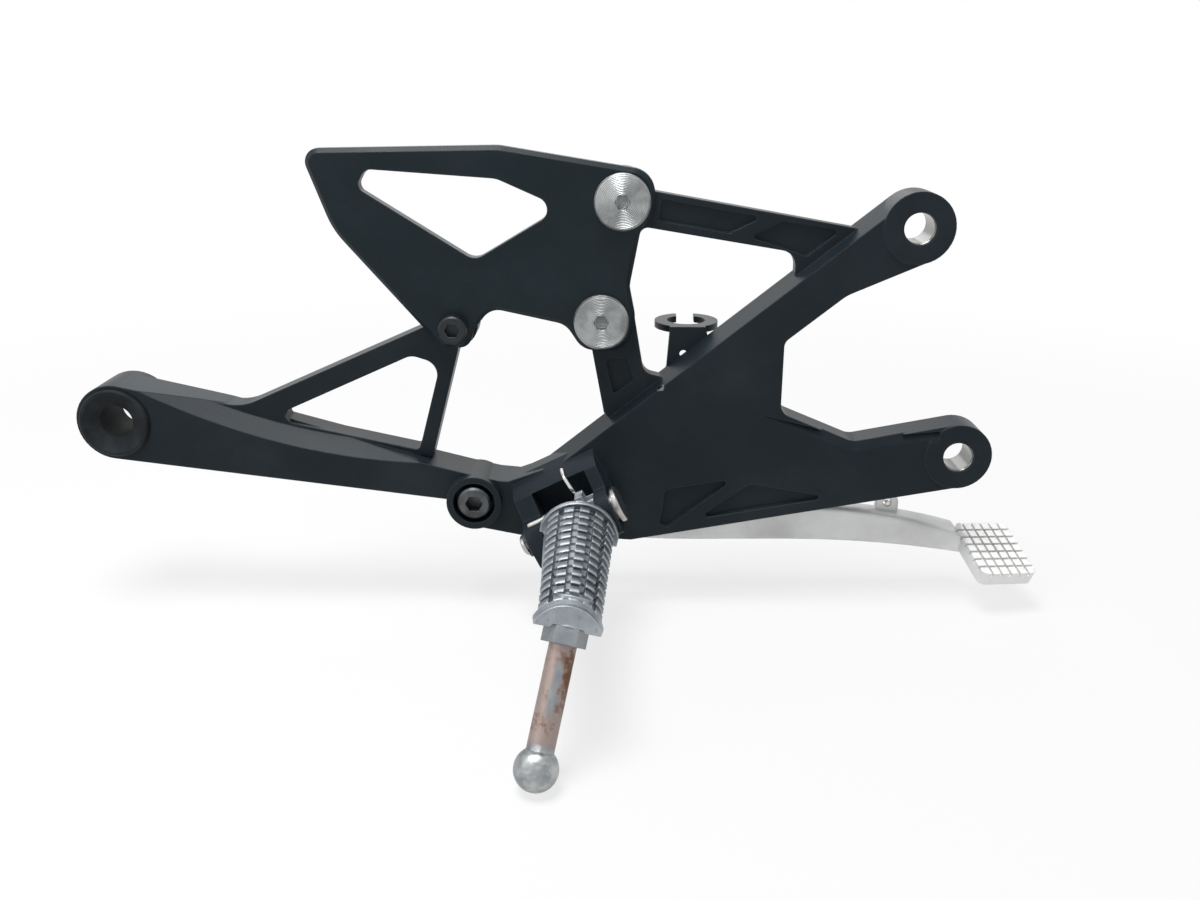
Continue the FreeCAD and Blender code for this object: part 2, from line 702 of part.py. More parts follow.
def make_guard_bolts():
    # two equal bolts: the second is a copy of the first body's shape
    body = make_screw("guard_bolt", "$guard_bolt_radius", "$guard_bolt_length", "$guard_bolt_head_radius",
                      "$guard_bolt_head", "$guard_bolt_key", "0.7")
    nodes.remove(body)
    doc.recompute()
    pair = []
    for spot in ("upper", "lower"):
        link = doc.addObject("Part::Compound", "bolt_" + spot)
        link.Links = [body]
        set_place(link, "$guard_%s_x" % spot, "-$strut_depth - $guard_thickness", "$guard_%s_z" % spot,
                  (1, 0, 0), "90")
        pair.append(link)
    both = doc.addObject("Part::Compound", "heel_guard_bolts")
    both.Label = "heel_guard_bolts"
    both.Links = pair
    nodes.append(both)


def make_hinge():
    # pin: height 0 is the front ear's outer face, the head is above, the tail below
    tail = "$ear_front + $clevis_gap + $ear_rear + $pin_washer + $clip + $pin_stub + 0.2"
    seat = "$ear_front + $clevis_gap + $ear_rear + $pin_washer + 0.1"
    pin = turned("hinge_pin", [
        ("0", "-(%s)" % tail),
        ("$pin_radius - 0.6", "-(%s)" % tail),
        ("$pin_radius", "-(%s) + 0.6" % tail),
        ("$pin_radius", "-(%s) - $clip" % seat),
        ("$clip_groove_radius", "-(%s) - $clip" % seat),
        ("$clip_groove_radius", "-(%s)" % seat),
        ("$pin_radius", "-(%s)" % seat),
        ("$pin_radius", "0"),
        ("$pin_head_radius - 1.4", "0"),
        ("$pin_head_radius - 1.4", "0.9"),
        ("$pin_head_radius", "0.9"),
        ("$pin_head_radius", "$pin_head - 0.5"),
        ("$pin_head_radius - 0.5", "$pin_head"),
        ("0", "$pin_head"),
    ])
    washer = turned("pin_washer", [
        ("$pin_radius + 0.15", "-(%s) + 0.1" % seat),
        ("$pin_washer_radius", "-(%s) + 0.1" % seat),
        ("$pin_washer_radius", "-(%s) + 0.1 + $pin_washer" % seat),
        ("$pin_radius + 0.15", "-(%s) + 0.1 + $pin_washer" % seat),
    ])
    clip = new_body("pin_clip")
    sketch = new_sketch(clip, "XY_Plane", ("0", "0", "-(%s) - $clip + 0.05" % seat))
    circle(sketch, "0", "0", "$clip_radius")
    circle(sketch, "0", "0", "$clip_groove_radius + $running_clearance")
    pad(clip, sketch, "$clip - 0.1")
    sketch = new_sketch(clip, "XY_Plane", ("0", "0", "-(%s) + 1" % seat))
    polygon(sketch, [
        ("-2.4", "0"),
        ("2.4", "0"),
        ("2.4", "-$clip_radius - 2"),
        ("-2.4", "-$clip_radius - 2"),
    ])
    pocket(clip, sketch, "6")
    reach = "($clevis_gap / 2 + $ear_front)"
    for body in (pin, washer, clip):
        set_place(body, "$pin_x + %s * cos($pin_angle)" % reach, "-$pin_depth",
                  "$pin_z + %s * sin($pin_angle)" % reach, (0, 1, 0), "90 - $pin_angle")


def peg_sway(spot):
    return "$peg_tip_shift * (%s) / $peg_length" % spot


def peg_loft(label, shapes):
    # a loft between the root and the tip section of the peg, in the peg's own turned frame
    body = doc.addObject("PartDesign::Body", label)
    sections = []
    for spot, corners in shapes:
        sketch = new_sketch(body, "XZ_Plane", (peg_sway(spot), "0", spot))
        arch_section(sketch, *corners)
        sections.append(sketch)
    loft(body, sections, ruled=True)
    set_place(body, "$peg_x", "-$peg_depth", "$peg_z", (0, 1, 0), "$peg_roll")
    return body


def arch_section(sketch, radius, centre, fan, skirt):
    # an arch about a centre on the y axis, closed by straight sides or to a point under the arch
    r = value(radius)
    c = value(centre)
    half = math.radians(value(fan) / 2)
    left = FreeCAD.Vector(-r * math.sin(half), c + r * math.cos(half), 0)
    right = FreeCAD.Vector(r * math.sin(half), c + r * math.cos(half), 0)
    top = FreeCAD.Vector(0, c + r, 0)
    arc = sketch.addGeometry(Part.Arc(right, top, left), False)
    number = sketch.addConstraint(Sketcher.Constraint("Radius", arc, r))
    tie(sketch, "Constraints[%d]" % number, radius)
    if skirt is None:
        low = [FreeCAD.Vector(0, c + r * 0.15, 0)]
    else:
        drop = FreeCAD.Vector(0, value(skirt), 0)
        low = [left - drop, right - drop]
    trail = [left] + low + [right]
    for a, b in zip(trail[:-1], trail[1:]):
        sketch.addGeometry(Part.LineSegment(a, b), False)


def make_peg():
    root = "0"
    tip = "$peg_length"
    tip_centre = "$peg_root_radius - $peg_tip_radius"
    inner = "- $tooth_height"
    core = peg_loft("peg_core", [
        (root, ("$peg_root_radius" + inner, "0", "180", "$peg_skirt")),
        (tip, ("$peg_tip_radius" + inner, tip_centre, "$peg_tip_fan", "$peg_tip_skirt")),
    ])
    crest = peg_loft("peg_crest", [
        (root, ("$peg_root_radius", "0", "$tooth_fan", None)),
        (tip, ("$peg_tip_radius", tip_centre, "$tooth_fan", None)),
    ])
    rim = peg_loft("peg_rim", [
        ("-0.1", ("$peg_root_radius + 0.4", "0", "$peg_rim_fan", "$peg_skirt")),
        ("$peg_rim", ("$peg_root_radius + 0.2", "0", "$peg_rim_fan", "$peg_skirt")),
    ])
    lip = peg_loft("peg_lip", [
        ("$peg_length - 0.1", ("$peg_tip_radius", tip_centre, "$peg_tip_fan", "$peg_tip_skirt")),
        ("$peg_length + $peg_lip", ("$peg_tip_radius - 0.6", tip_centre, "$peg_tip_fan", "$peg_tip_skirt")),
    ])

    # gaps between the rows of teeth are slabs across the peg, evenly spaced from rim to lip
    rows = 13
    pitch = "(($peg_length - $peg_rim) / %d)" % rows
    cutters = []
    for k in range(rows):
        slab = doc.addObject("Part::Box", "row_gap")
        tie(slab, "Length", "40")
        tie(slab, "Width", "$tooth_gap")
        tie(slab, "Height", "40")
        offset = "$peg_rim + %s * %d" % (pitch, k)
        set_place(slab, "$peg_x - 20 * cos($peg_roll) - 20 * sin($peg_roll)",
                  "-$peg_depth - (%s) - $tooth_gap" % offset,
                  "$peg_z + 20 * sin($peg_roll) - 20 * cos($peg_roll)", (0, 1, 0), "$peg_roll")
        cutters.append(slab)

    # gaps between the columns fan out about the arch's centre and narrow towards the tip
    columns = 5
    step = value("$tooth_fan") / columns
    for k in range(1, columns):
        lean = math.radians(-value("$tooth_fan") / 2 + step * k)
        across = FreeCAD.Vector(math.cos(lean), -math.sin(lean), 0)
        out = FreeCAD.Vector(math.sin(lean), math.cos(lean), 0)
        body = doc.addObject("PartDesign::Body", "column_gap")
        sections = []
        for spot, radius, centre, wide in (("-1", "$peg_root_radius", "0", 1.15),
                                           ("$peg_length + 1", "$peg_tip_radius", tip_centre, 0.8)):
            sketch = new_sketch(body, "XZ_Plane", (peg_sway(spot), "0", spot))
            middle = FreeCAD.Vector(0, value(centre), 0)
            near = value(radius) - value("$tooth_height") - 3
            far = value(radius) + 2
            half = across * (value("$tooth_gap") / 2 * wide)
            low = middle + out * near
            high = middle + out * far
            ring = [low - half, low + half, high + half, high - half]
            for a, b in zip(ring, ring[1:] + ring[:1]):
                sketch.addGeometry(Part.LineSegment(a, b), False)
            sections.append(sketch)
        loft(body, sections, ruled=True)
        set_place(body, "$peg_x", "-$peg_depth", "$peg_z", (0, 1, 0), "$peg_roll")
        cutters.append(body)
    teeth = doc.addObject("Part::Cut", "peg_teeth")
    gaps = doc.addObject("Part::MultiFuse", "peg_gaps")
    gaps.Shapes = cutters
    teeth.Base = crest
    teeth.Tool = gaps

    # two eyes on the pin, joined to the root by a neck
    eyes = doc.addObject("PartDesign::Body", "peg_eyes")
    for side in (-1, 1):
        start = "%d * ($clevis_gap / 2 - $side_clearance)" % side
        if side > 0:
            start = "%s - $peg_eye_width" % start
        sketch = new_sketch(eyes, "YZ_Plane", ("0", "$pin_z", "$pin_x"), (1, 0, 0), "-$pin_angle")
        tie(sketch, "AttachmentOffset.Base.y", "$pin_z + (%s) * sin($pin_angle)" % start)
        tie(sketch, "AttachmentOffset.Base.z", "$pin_x + (%s) * cos($pin_angle)" % start)
        polygon(sketch, [
            ("-$pin_depth + $peg_eye_radius", "$peg_eye_radius", "$peg_eye_radius - 0.1"),
            ("-$peg_depth - 0.6", "$peg_eye_radius"),
            ("-$peg_depth - 0.6", "-$peg_eye_radius"),
            ("-$pin_depth + $peg_eye_radius", "-$peg_eye_radius", "$peg_eye_radius - 0.1"),
        ])
        circle(sketch, "-$pin_depth", "0", "$pin_radius + $running_clearance")
        pad(eyes, sketch, "$peg_eye_width")
        if side > 0:
            fin = new_sketch(eyes, "YZ_Plane", ("0", "$pin_z", "$pin_x"), (1, 0, 0), "-$pin_angle")
            tie(fin, "AttachmentOffset.Base.y", "$pin_z + (%s) * sin($pin_angle)" % start)
            tie(fin, "AttachmentOffset.Base.z", "$pin_x + (%s) * cos($pin_angle)" % start)
            polygon(fin, [
                ("-$peg_depth - 0.4", "$peg_eye_radius - 2"),
                ("-$peg_depth - 0.4", "$peg_fin_height"),
                ("-$pin_depth - 2.4", "$peg_fin_height", "1"),
                ("-$pin_depth - 1.4", "$peg_eye_radius - 2"),
            ])
            pad(eyes, fin, "$peg_fin")
        if side < 0:
            bridge = pin_sketch(eyes, "$peg_depth - 0.2")
            polygon(bridge, [
                ("-$clevis_gap / 2 + $side_clearance", "-$peg_eye_radius"),
                ("$clevis_gap / 2 - $side_clearance", "-$peg_eye_radius"),
                ("$clevis_gap / 2 - $side_clearance", "$peg_eye_radius"),
                ("-$clevis_gap / 2 + $side_clearance", "$peg_eye_radius"),
            ])
            pad(eyes, bridge, "1")

    boss = doc.addObject("Part::Cylinder", "feeler_boss")
    tie(boss, "Radius", "$feeler_boss_radius")
    tie(boss, "Height", "$feeler_boss + $feeler_thread")
    set_feeler_place(boss)
    whole = doc.addObject("Part::MultiFuse", "peg_blank")
    whole.Shapes = [core, teeth, rim, lip, eyes, boss]

    # hollow underside and the feeler's threaded hole
    hollow = peg_loft("peg_hollow", [
        ("$peg_rim + 5", ("$peg_root_radius - $tooth_height - $peg_wall", "-$peg_skirt - 1", "180", "1")),
        ("$peg_length - 24", ("$peg_tip_radius - $tooth_height - $peg_wall + 2",
                              "%s - $peg_skirt - 1" % tip_centre, "180", "1")),
    ])
    hole = doc.addObject("Part::Cylinder", "feeler_hole")
    tie(hole, "Radius", "$feeler_thread_radius")
    tie(hole, "Height", "$feeler_thread + 0.5")
    set_feeler_place(hole)
    seat = doc.addObject("Part::Cylinder", "feeler_seat")
    tie(seat, "Radius", "$feeler_hex * 0.62")
    tie(seat, "Height", "20")
    set_feeler_place(seat, 20)
    cut = doc.addObject("Part::MultiFuse", "peg_hollows")
    cut.Shapes = [hollow, hole, seat]
    peg = doc.addObject("Part::Cut", "footpeg")
    peg.Label = "footpeg"
    peg.Base = whole
    peg.Tool = cut
    nodes.append(peg)


def set_feeler_place(thing, drop=0):
    # height 0 is the bolt's seat under the peg's tip; up runs into the peg, leaning inboard
    lean = FreeCAD.Rotation(FreeCAD.Vector(0, 1, 0), value("$feeler_lean"))
    lean = lean.multiply(FreeCAD.Rotation(FreeCAD.Vector(1, 0, 0), -value("$feeler_tilt")))
    roll = FreeCAD.Rotation(FreeCAD.Vector(0, 1, 0), value("$peg_roll"))
    reach = "$peg_length + $peg_lip - $feeler_inset"
    local = FreeCAD.Vector(value(peg_sway(reach)), -value(reach),
                           value("$peg_root_radius - $peg_tip_radius - $peg_tip_skirt"
                                 " + $peg_tip_radius * cos($peg_tip_fan / 2)"))
    spot = roll.multVec(local) + FreeCAD.Vector(value("$peg_x"), -value("$peg_depth"), value("$peg_z"))
    spot = spot - lean.multVec(FreeCAD.Vector(0, 0, value("$feeler_boss") + drop))
    thing.Placement = FreeCAD.Placement(spot, lean)


def make_feeler():
    # hexagon, shank and ball are one turned bolt, with its thread up in the peg
    ball_z = "-$feeler_hex_height - $feeler_shank - $feeler_ball_radius"
    body = new_body("feeler_bolt")
    sketch = new_sketch(body, "XY_Plane", ("0", "0", "-$feeler_hex_height"))
    hexagon(sketch, "$feeler_hex")
    pad(body, sketch, "$feeler_hex_height")
    rod(body, "$feeler_thread_radius - $running_clearance", "$feeler_thread + 1", "0", "0", "-1",
        angle="0")
    rod(body, "$feeler_shank_radius", "$feeler_shank + $feeler_ball_radius + 1", "0", "0", ball_z,
        angle="0")
    ball = body.newObject("PartDesign::AdditiveSphere", "Ball")
    tie(ball, "Radius", "$feeler_ball_radius")
    set_place(ball, "0", "0", ball_z)
    set_feeler_place(body)


def wire_form(label, path, radius):
    # a wire of six-sided section along a path, each section square to the path
    sections = []
    side = None
    for k, point in enumerate(path):
        ahead = path[min(k + 1, len(path) - 1)]
        behind = path[max(k - 1, 0)]
        way = ahead.sub(behind)
        way.normalize()
        if side is None:
            guess = FreeCAD.Vector(0, 0, 1) if abs(way.z) < 0.8 else FreeCAD.Vector(0, 1, 0)
            side = guess
        side = side.sub(way * side.dot(way))
        side.normalize()
        other = way.cross(side)
        ring = []
        for n in range(6):
            turn = math.radians(60 * n)
            ring.append(point + side * (radius * math.cos(turn)) + other * (radius * math.sin(turn)))
        sections.append(Part.makePolygon(ring + ring[:1]))
    node = doc.addObject("Part::Feature", label)
    node.Label = label
    node.Shape = Part.makeLoft(sections, True, True)
    nodes.append(node)


def make_peg_spring():
    # coil about the pin, one leg up to the clevis roof, the other along the peg's rim
    turn = math.radians(value("$pin_angle"))
    along = FreeCAD.Vector(math.cos(turn), 0, math.sin(turn))
    up = FreeCAD.Vector(-math.sin(turn), 0, math.cos(turn))
    out = FreeCAD.Vector(0, -1, 0)
    centre = FreeCAD.Vector(value("$pin_x"), -value("$pin_depth"), value("$pin_z"))
    coil = value("$peg_coil_radius")
    wire = value("$peg_wire")
    turns = value("$peg_coil_turns")
    room = value("$clevis_gap / 2 - $side_clearance - $peg_eye_width") - wire - 0.2
    rest = value("$peg_depth - $pin_depth") - wire - 0.15

    def at(u, v, w):
        return centre + along * u + out * v + up * w

    reach = value("$ear_radius") + wire + 0.4
    path = [at(-value("$clevis_gap / 2") - 4, rest, reach), at(-room - 2, rest, reach),
            at(-room, rest - 0.6, reach - 0.8)]
    steps = 14
    begin = math.radians(12)
    sweep = 2 * math.pi * turns + math.radians(168)
    count = int(steps * turns) + 6
    for k in range(count + 1):
        angle = begin - sweep * k / count
        share = min(1.0, max(0.0, k / count))
        path.append(at(-room + 2 * room * share, coil * math.cos(angle), coil * math.sin(angle)))
    # the second leg rises in front of the roof's edge and lies back on the facet above it
    roof = value("$clevis_roof")
    path.append(at(room, -coil + 1.4, roof - 8.6))
    path.append(at(room - 0.4, -1.6, roof - 4.6))
    path.append(at(room - 1.1, -2.8, roof - 0.2))
    path.append(at(room - 1.4, -4, roof + 1.3))
    path.append(at(room - 1.7, -8, roof + 2.7))
    wire_form("peg_return_spring", path, wire)


def make_pedal():
    body = new_body("brake_pedal")
    face = "$rear_arm_inset - $pivot_recess + $thrust_washer + $end_clearance"
    rod(body, "$hub_radius", "$hub_length", "$pivot_x", "%s + $hub_length" % face, "$pivot_z")
    stations = [
        ("$pivot_x + 4", "$arm_line", "$pivot_z - 2", "6.4", "$arm_width"),
        ("-112", "$arm_line", "-120.7", "9.4", "$arm_width"),
        ("-60", "$arm_line - 0.4", "-122.8", "8.6", "$arm_width"),
        ("-14", "9", "-123.6", "7.6", "$arm_width"),
        ("$pad_x - 9", "$pad_depth + 1.5", "-128.8", "4", "$arm_width - 0.5"),
    ]
    sections = []
    for x, y, z, tall, wide in stations:
        sketch = new_sketch(body, "YZ_Plane", ("0", "0", x))
        corners = []
        for sy, sz in ((-1, -1), (1, -1), (1, 1), (-1, 1)):
            corners.append(("%s + %d * %s / 2" % (y, sy, wide), "%s + %d * %s" % (z, sz, tall), "2.6"))
        polygon(sketch, corners)
        sections.append(sketch)
    loft(body, sections)

    # ear for the master cylinder's pushrod and the tab for the return spring
    sketch = new_sketch(body, "XZ_Plane", ("0", "0", "-$arm_line - $pushrod_ear / 2"))
    circle(sketch, "$pushrod_x", "$pushrod_z", "$pushrod_eye_radius")
    pad(body, sketch, "$pushrod_ear")
    sketch = new_sketch(body, "XZ_Plane", ("0", "0", "-$spring_line - $tab_thickness / 2"))
    polygon(sketch, [
        ("$tab_x - 4.5", "$tab_z - 5"),
        ("$tab_x + 4.5", "$tab_z - 5"),
        ("$tab_x + 4.5", "$tab_z + 3.6", "3.4"),
        ("$tab_x - 4.5", "$tab_z + 3.6", "3.4"),
    ])
    pad(body, sketch, "$tab_thickness")
    rod(body, "$pushrod_bore / 2", "40", "$pushrod_x", "40", "$pushrod_z", True)
    rod(body, "$pedal_wire + 0.9", "30", "$tab_x", "24", "$tab_z", True)
    rod(body, "$pivot_sleeve_radius + $bush_wall", "60", "$pivot_x", "40", "$pivot_z", True)
    rod(body, "$pivot_flange_radius + 0.8", "40 - (%s) - $hub_length" % face, "$pivot_x", "40", "$pivot_z", True)
    nodes.remove(body)
    body.Label = "pedal_arm"

    # toe pad: a plate with crossing gaps that leave rows of teeth, in its own turned frame
    plate = doc.addObject("PartDesign::Body", "pedal_pad")
    sketch = new_sketch(plate, "XY_Plane")
    polygon(sketch, [
        ("-$pad_width / 2", "-$pad_length", "3"),
        ("$pad_width / 2", "-$pad_length", "3"),
        ("$pad_width / 2", "0", "3"),
        ("-$pad_width / 2", "0", "3"),
    ])
    pad(plate, sketch, "$pad_thickness + $pad_tooth")
    columns = 6
    rows = 7
    sketch = new_sketch(plate, "XY_Plane", ("0", "0", "$pad_thickness + $pad_tooth"))
    for k in range(1, columns):
        x = "-$pad_width / 2 + $pad_width / %d * %d" % (columns, k)
        polygon(sketch, [
            ("%s - $pad_gap / 2" % x, "-$pad_length - 1"),
            ("%s + $pad_gap / 2" % x, "-$pad_length - 1"),
            ("%s + $pad_gap / 2" % x, "1"),
            ("%s - $pad_gap / 2" % x, "1"),
        ])
    pocket(plate, sketch, "$pad_tooth")
    sketch = new_sketch(plate, "XY_Plane", ("0", "0", "$pad_thickness + $pad_tooth"))
    for k in range(1, rows):
        y = "-$pad_length / %d * %d" % (rows, k)
        polygon(sketch, [
            ("-$pad_width / 2 - 1", "%s - $pad_gap / 2" % y),
            ("$pad_width / 2 + 1", "%s - $pad_gap / 2" % y),
            ("$pad_width / 2 + 1", "%s + $pad_gap / 2" % y),
            ("-$pad_width / 2 - 1", "%s + $pad_gap / 2" % y),
        ])
    pocket(plate, sketch, "$pad_tooth")
    turn = FreeCAD.Rotation(FreeCAD.Vector(0, 0, 1), value("$pad_yaw"))
    turn = turn.multiply(FreeCAD.Rotation(FreeCAD.Vector(0, 1, 0), value("$pad_lean")))
    turn = turn.multiply(FreeCAD.Rotation(FreeCAD.Vector(1, 0, 0), value("$pad_tilt")))
    spot = FreeCAD.Vector(value("$pad_x"), value("$pad_depth") + 4, value("$pad_z"))
    plate.Placement = FreeCAD.Placement(spot, turn)
    pedal = doc.addObject("Part::MultiFuse", "brake_pedal_casting")
    pedal.Label = "brake_pedal"
    pedal.Shapes = [body, plate]
    nodes.append(pedal)


def make_pivot():
    face = "$rear_arm_inset - $pivot_recess"
    hub = "$hub_length + $thrust_washer + 2 * $end_clearance"
    # sleeve and flange: height 0 is on the recess's floor in the bracket, up runs inboard
    sleeve = turned("pedal_pivot_sleeve", [
        ("$pivot_bolt_radius + $running_clearance", "0"),
        ("$pivot_sleeve_radius", "0"),
        ("$pivot_sleeve_radius", hub),
        ("$pivot_flange_radius", hub),
        ("$pivot_flange_radius", "%s + $pivot_flange" % hub),
        ("$pivot_bolt_radius + $running_clearance", "%s + $pivot_flange" % hub),
    ])
    bush = turned("pedal_bush", [
        ("$pivot_sleeve_radius + $running_clearance", "$thrust_washer + $end_clearance"),
        ("$pivot_sleeve_radius + $bush_wall", "$thrust_washer + $end_clearance"),
        ("$pivot_sleeve_radius + $bush_wall", "$thrust_washer + $end_clearance + $hub_length"),
        ("$pivot_sleeve_radius + $running_clearance", "$thrust_washer + $end_clearance + $hub_length"),
    ])
    washer = turned("pedal_thrust_washer", [
        ("$pivot_sleeve_radius + $running_clearance", "0"),
        ("$hub_radius - 1", "0"),
        ("$hub_radius - 1", "$thrust_washer"),
        ("$pivot_sleeve_radius + $running_clearance", "$thrust_washer"),
    ])
    for body in (sleeve, bush, washer):
        set_place(body, "$pivot_x", face, "$pivot_z", (1, 0, 0), "-90")
    depth = "$front_depth + $pivot_boss_rise - $pivot_cup_depth"
    bolt = make_screw("pedal_pivot_bolt", "$pivot_bolt_radius",
                      "%s + %s + %s + $pivot_flange" % (depth, face, hub),
                      "$pivot_bolt_head_radius", "$pivot_bolt_head", "$pivot_bolt_key", "0.8")
    set_place(bolt, "$pivot_x", "-(%s)" % depth, "$pivot_z", (1, 0, 0), "90")


def make_pedal_spring():
    # tension spring from the bracket's post to the pedal's tab, a hook eye at each end
    start = FreeCAD.Vector(value("$spring_post_x"), value("$spring_line"), value("$spring_post_z"))
    end = FreeCAD.Vector(value("$tab_x"), value("$spring_line"), value("$tab_z"))
    along = end.sub(start)
    length = along.Length
    along.normalize()
    across = FreeCAD.Vector(0, 1, 0)
    up = across.cross(along)
    wire = value("$pedal_wire")
    coil = value("$pedal_coil_radius")
    post = value("$spring_post_radius") + wire + 0.1
    eye = wire + 1.9
    turns = value("$pedal_coil_turns")
    path = []

    def at(a, b, c):
        return start + along * a + across * b + up * c

    for k in range(9):
        angle = math.radians(-150 + 300 * k / 8)
        path.append(at(-post * math.cos(angle), 0, post * math.sin(angle)))
    path.append(at(post + 4, 0.5, 2))
    first = post + 8
    last = length - eye - 8
    count = int(turns * 12)
    for k in range(count + 1):
        angle = 2 * math.pi * turns * k / count + math.pi / 2
        path.append(at(first + (last - first) * k / count, -coil * math.cos(angle),
                       coil * math.sin(angle)))
    path.append(at(length - eye - 5.6, 1.6, 2))
    path.append(at(length - eye - 3.6, wire + 2.1, 0.8))
    path.append(at(length - 0.6, wire + 2.1, 0))
    path.append(at(length, wire + 1.3, 0))
    path.append(at(length + 0.1, -wire - 1.6, 0))
    wire_form("pedal_return_spring", path, wire)


def make_stay():
    # stamped strip flat on the web's inboard face, its top bent inboard into an open ring
    body = new_body("stop_switch_stay")
    sketch = new_sketch(body, "XZ_Plane", ("0", "0", "-$stay_thickness"))
    polygon(sketch, [
        ("$stay_ring_x - 6.8", "$stay_ring_z"),
        ("$stay_ring_x + 6.8", "$stay_ring_z"),
        ("$stay_screw_x + 9", "$stay_screw_z - 2", "4"),
        ("$stay_screw_x + 7", "$stay_screw_z - 8", "4"),
        ("$stay_screw_x - 8", "$stay_screw_z - 8", "4"),
        ("$stay_screw_x - 18.3", "$stay_screw_z + 5", "3"),
        ("$stay_screw_x - 13.3", "$stay_screw_z + 10", "3"),
    ])
    pad(body, sketch, "$stay_thickness")
    sketch = new_sketch(body, "XY_Plane", ("0", "0", "$stay_ring_z - $stay_thickness"))
    circle(sketch, "$stay_ring_x", "$stay_ring_radius", "$stay_ring_radius")
    pad(body, sketch, "$stay_thickness")
    sketch = new_sketch(body, "XY_Plane", ("0", "0", "$stay_ring_z + 2"))
    circle(sketch, "$stay_ring_x", "$stay_ring_radius", "$stay_ring_bore")
    pocket(body, sketch, "8")
    sketch = new_sketch(body, "XY_Plane", ("0", "0", "$stay_ring_z + 2"))
    polygon(sketch, [
        ("$stay_ring_x - $stay_ring_gap / 2", "$stay_ring_radius"),
        ("$stay_ring_x + $stay_ring_gap / 2", "$stay_ring_radius"),
        ("$stay_ring_x + $stay_ring_gap / 2", "3 * $stay_ring_radius"),
        ("$stay_ring_x - $stay_ring_gap / 2", "3 * $stay_ring_radius"),
    ])
    pocket(body, sketch, "8")
    rod(body, "$stay_screw_radius + $bolt_clearance", "30", "$stay_screw_x", "15", "$stay_screw_z", True)
    rod(body, "$stay_hole_radius", "30", "$stay_ring_x - 1.5", "15", "$stay_ring_z - 10.6", True)
    screw = make_screw("stay_screw", "$stay_screw_radius", "$stay_screw_length", "$stay_screw_head_radius",
                       "$stay_screw_head", "$foot_screw_key")
    set_place(screw, "$stay_screw_x", "$stay_thickness", "$stay_screw_z", (1, 0, 0), "-90")


def make_grommet():
    # height 0 is on the lug's outboard face, up runs outboard; both faces are flanged
    reach = "$front_depth + $rear_lug_inset"
    body = turned("rear_lug_grommet", [
        ("$grommet_hole_radius", "-(%s)" % reach),
        ("$grommet_neck_radius - 0.6", "-(%s)" % reach),
        ("$grommet_neck_radius", "-(%s) + 0.6" % reach),
        ("$grommet_neck_radius", "0"),
        ("$grommet_flange_radius", "0"),
        ("$grommet_flange_radius", "$grommet_flange - 0.6"),
        ("$grommet_flange_radius - 0.6", "$grommet_flange"),
        ("$grommet_flange_radius - 1.6", "$grommet_flange"),
        ("$grommet_hole_radius", "$grommet_flange - $grommet_dish"),
    ])
    set_place(body, "$rear_lug_x", "-$front_depth", "$rear_lug_z", (1, 0, 0), "90")


make_bracket()
make_guard()
make_guard_bolts()
foot_screw = make_screw("heel_guard_screw", "$foot_screw_radius", "$foot_screw_length",
                        "$foot_screw_head_radius", "$foot_screw_head", "$foot_screw_key")
set_place(foot_screw, "$guard_foot_x", "-$strut_depth - $guard_thickness", "$guard_foot_z",
          (1, 0, 0), "90")
make_grommet()
make_pivot()
make_hinge()
make_peg()
make_peg_spring()
make_feeler()
make_pedal()
make_pedal_spring()
make_stay()
doc.recompute()

for item in doc.Objects:
    if "Invalid" in item.State or "Error" in item.State:
        raise RuntimeError("%s is in state %s" % (item.Name, item.State))
os.makedirs("parts", exist_ok=True)
for node in nodes:
    if node.Shape.isNull() or not node.Shape.isValid():
        raise RuntimeError("%s has no valid shape" % node.Label)
    node.Shape.exportStep("parts/%s.step" % node.Label)
    print(node.Label, len(node.Shape.Solids), round(node.Shape.Volume))
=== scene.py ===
import bpy
import math
import numpy as np
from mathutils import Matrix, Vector


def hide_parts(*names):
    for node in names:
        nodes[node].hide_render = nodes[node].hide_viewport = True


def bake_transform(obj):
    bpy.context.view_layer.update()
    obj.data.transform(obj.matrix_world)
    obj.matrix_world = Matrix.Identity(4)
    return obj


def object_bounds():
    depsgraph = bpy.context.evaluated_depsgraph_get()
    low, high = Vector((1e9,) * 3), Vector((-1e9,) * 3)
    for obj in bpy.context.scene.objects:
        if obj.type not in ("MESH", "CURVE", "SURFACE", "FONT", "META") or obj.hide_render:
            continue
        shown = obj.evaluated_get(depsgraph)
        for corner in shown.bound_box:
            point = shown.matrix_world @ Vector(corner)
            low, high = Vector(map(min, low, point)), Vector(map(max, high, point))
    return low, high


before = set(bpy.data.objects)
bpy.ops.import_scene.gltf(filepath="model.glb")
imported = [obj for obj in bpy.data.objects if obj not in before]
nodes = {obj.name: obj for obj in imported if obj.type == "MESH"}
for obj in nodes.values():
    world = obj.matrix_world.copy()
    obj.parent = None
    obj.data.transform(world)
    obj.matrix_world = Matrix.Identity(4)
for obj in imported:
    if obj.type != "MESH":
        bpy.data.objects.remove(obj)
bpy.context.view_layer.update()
print("frame loaded:", len(nodes), "nodes")


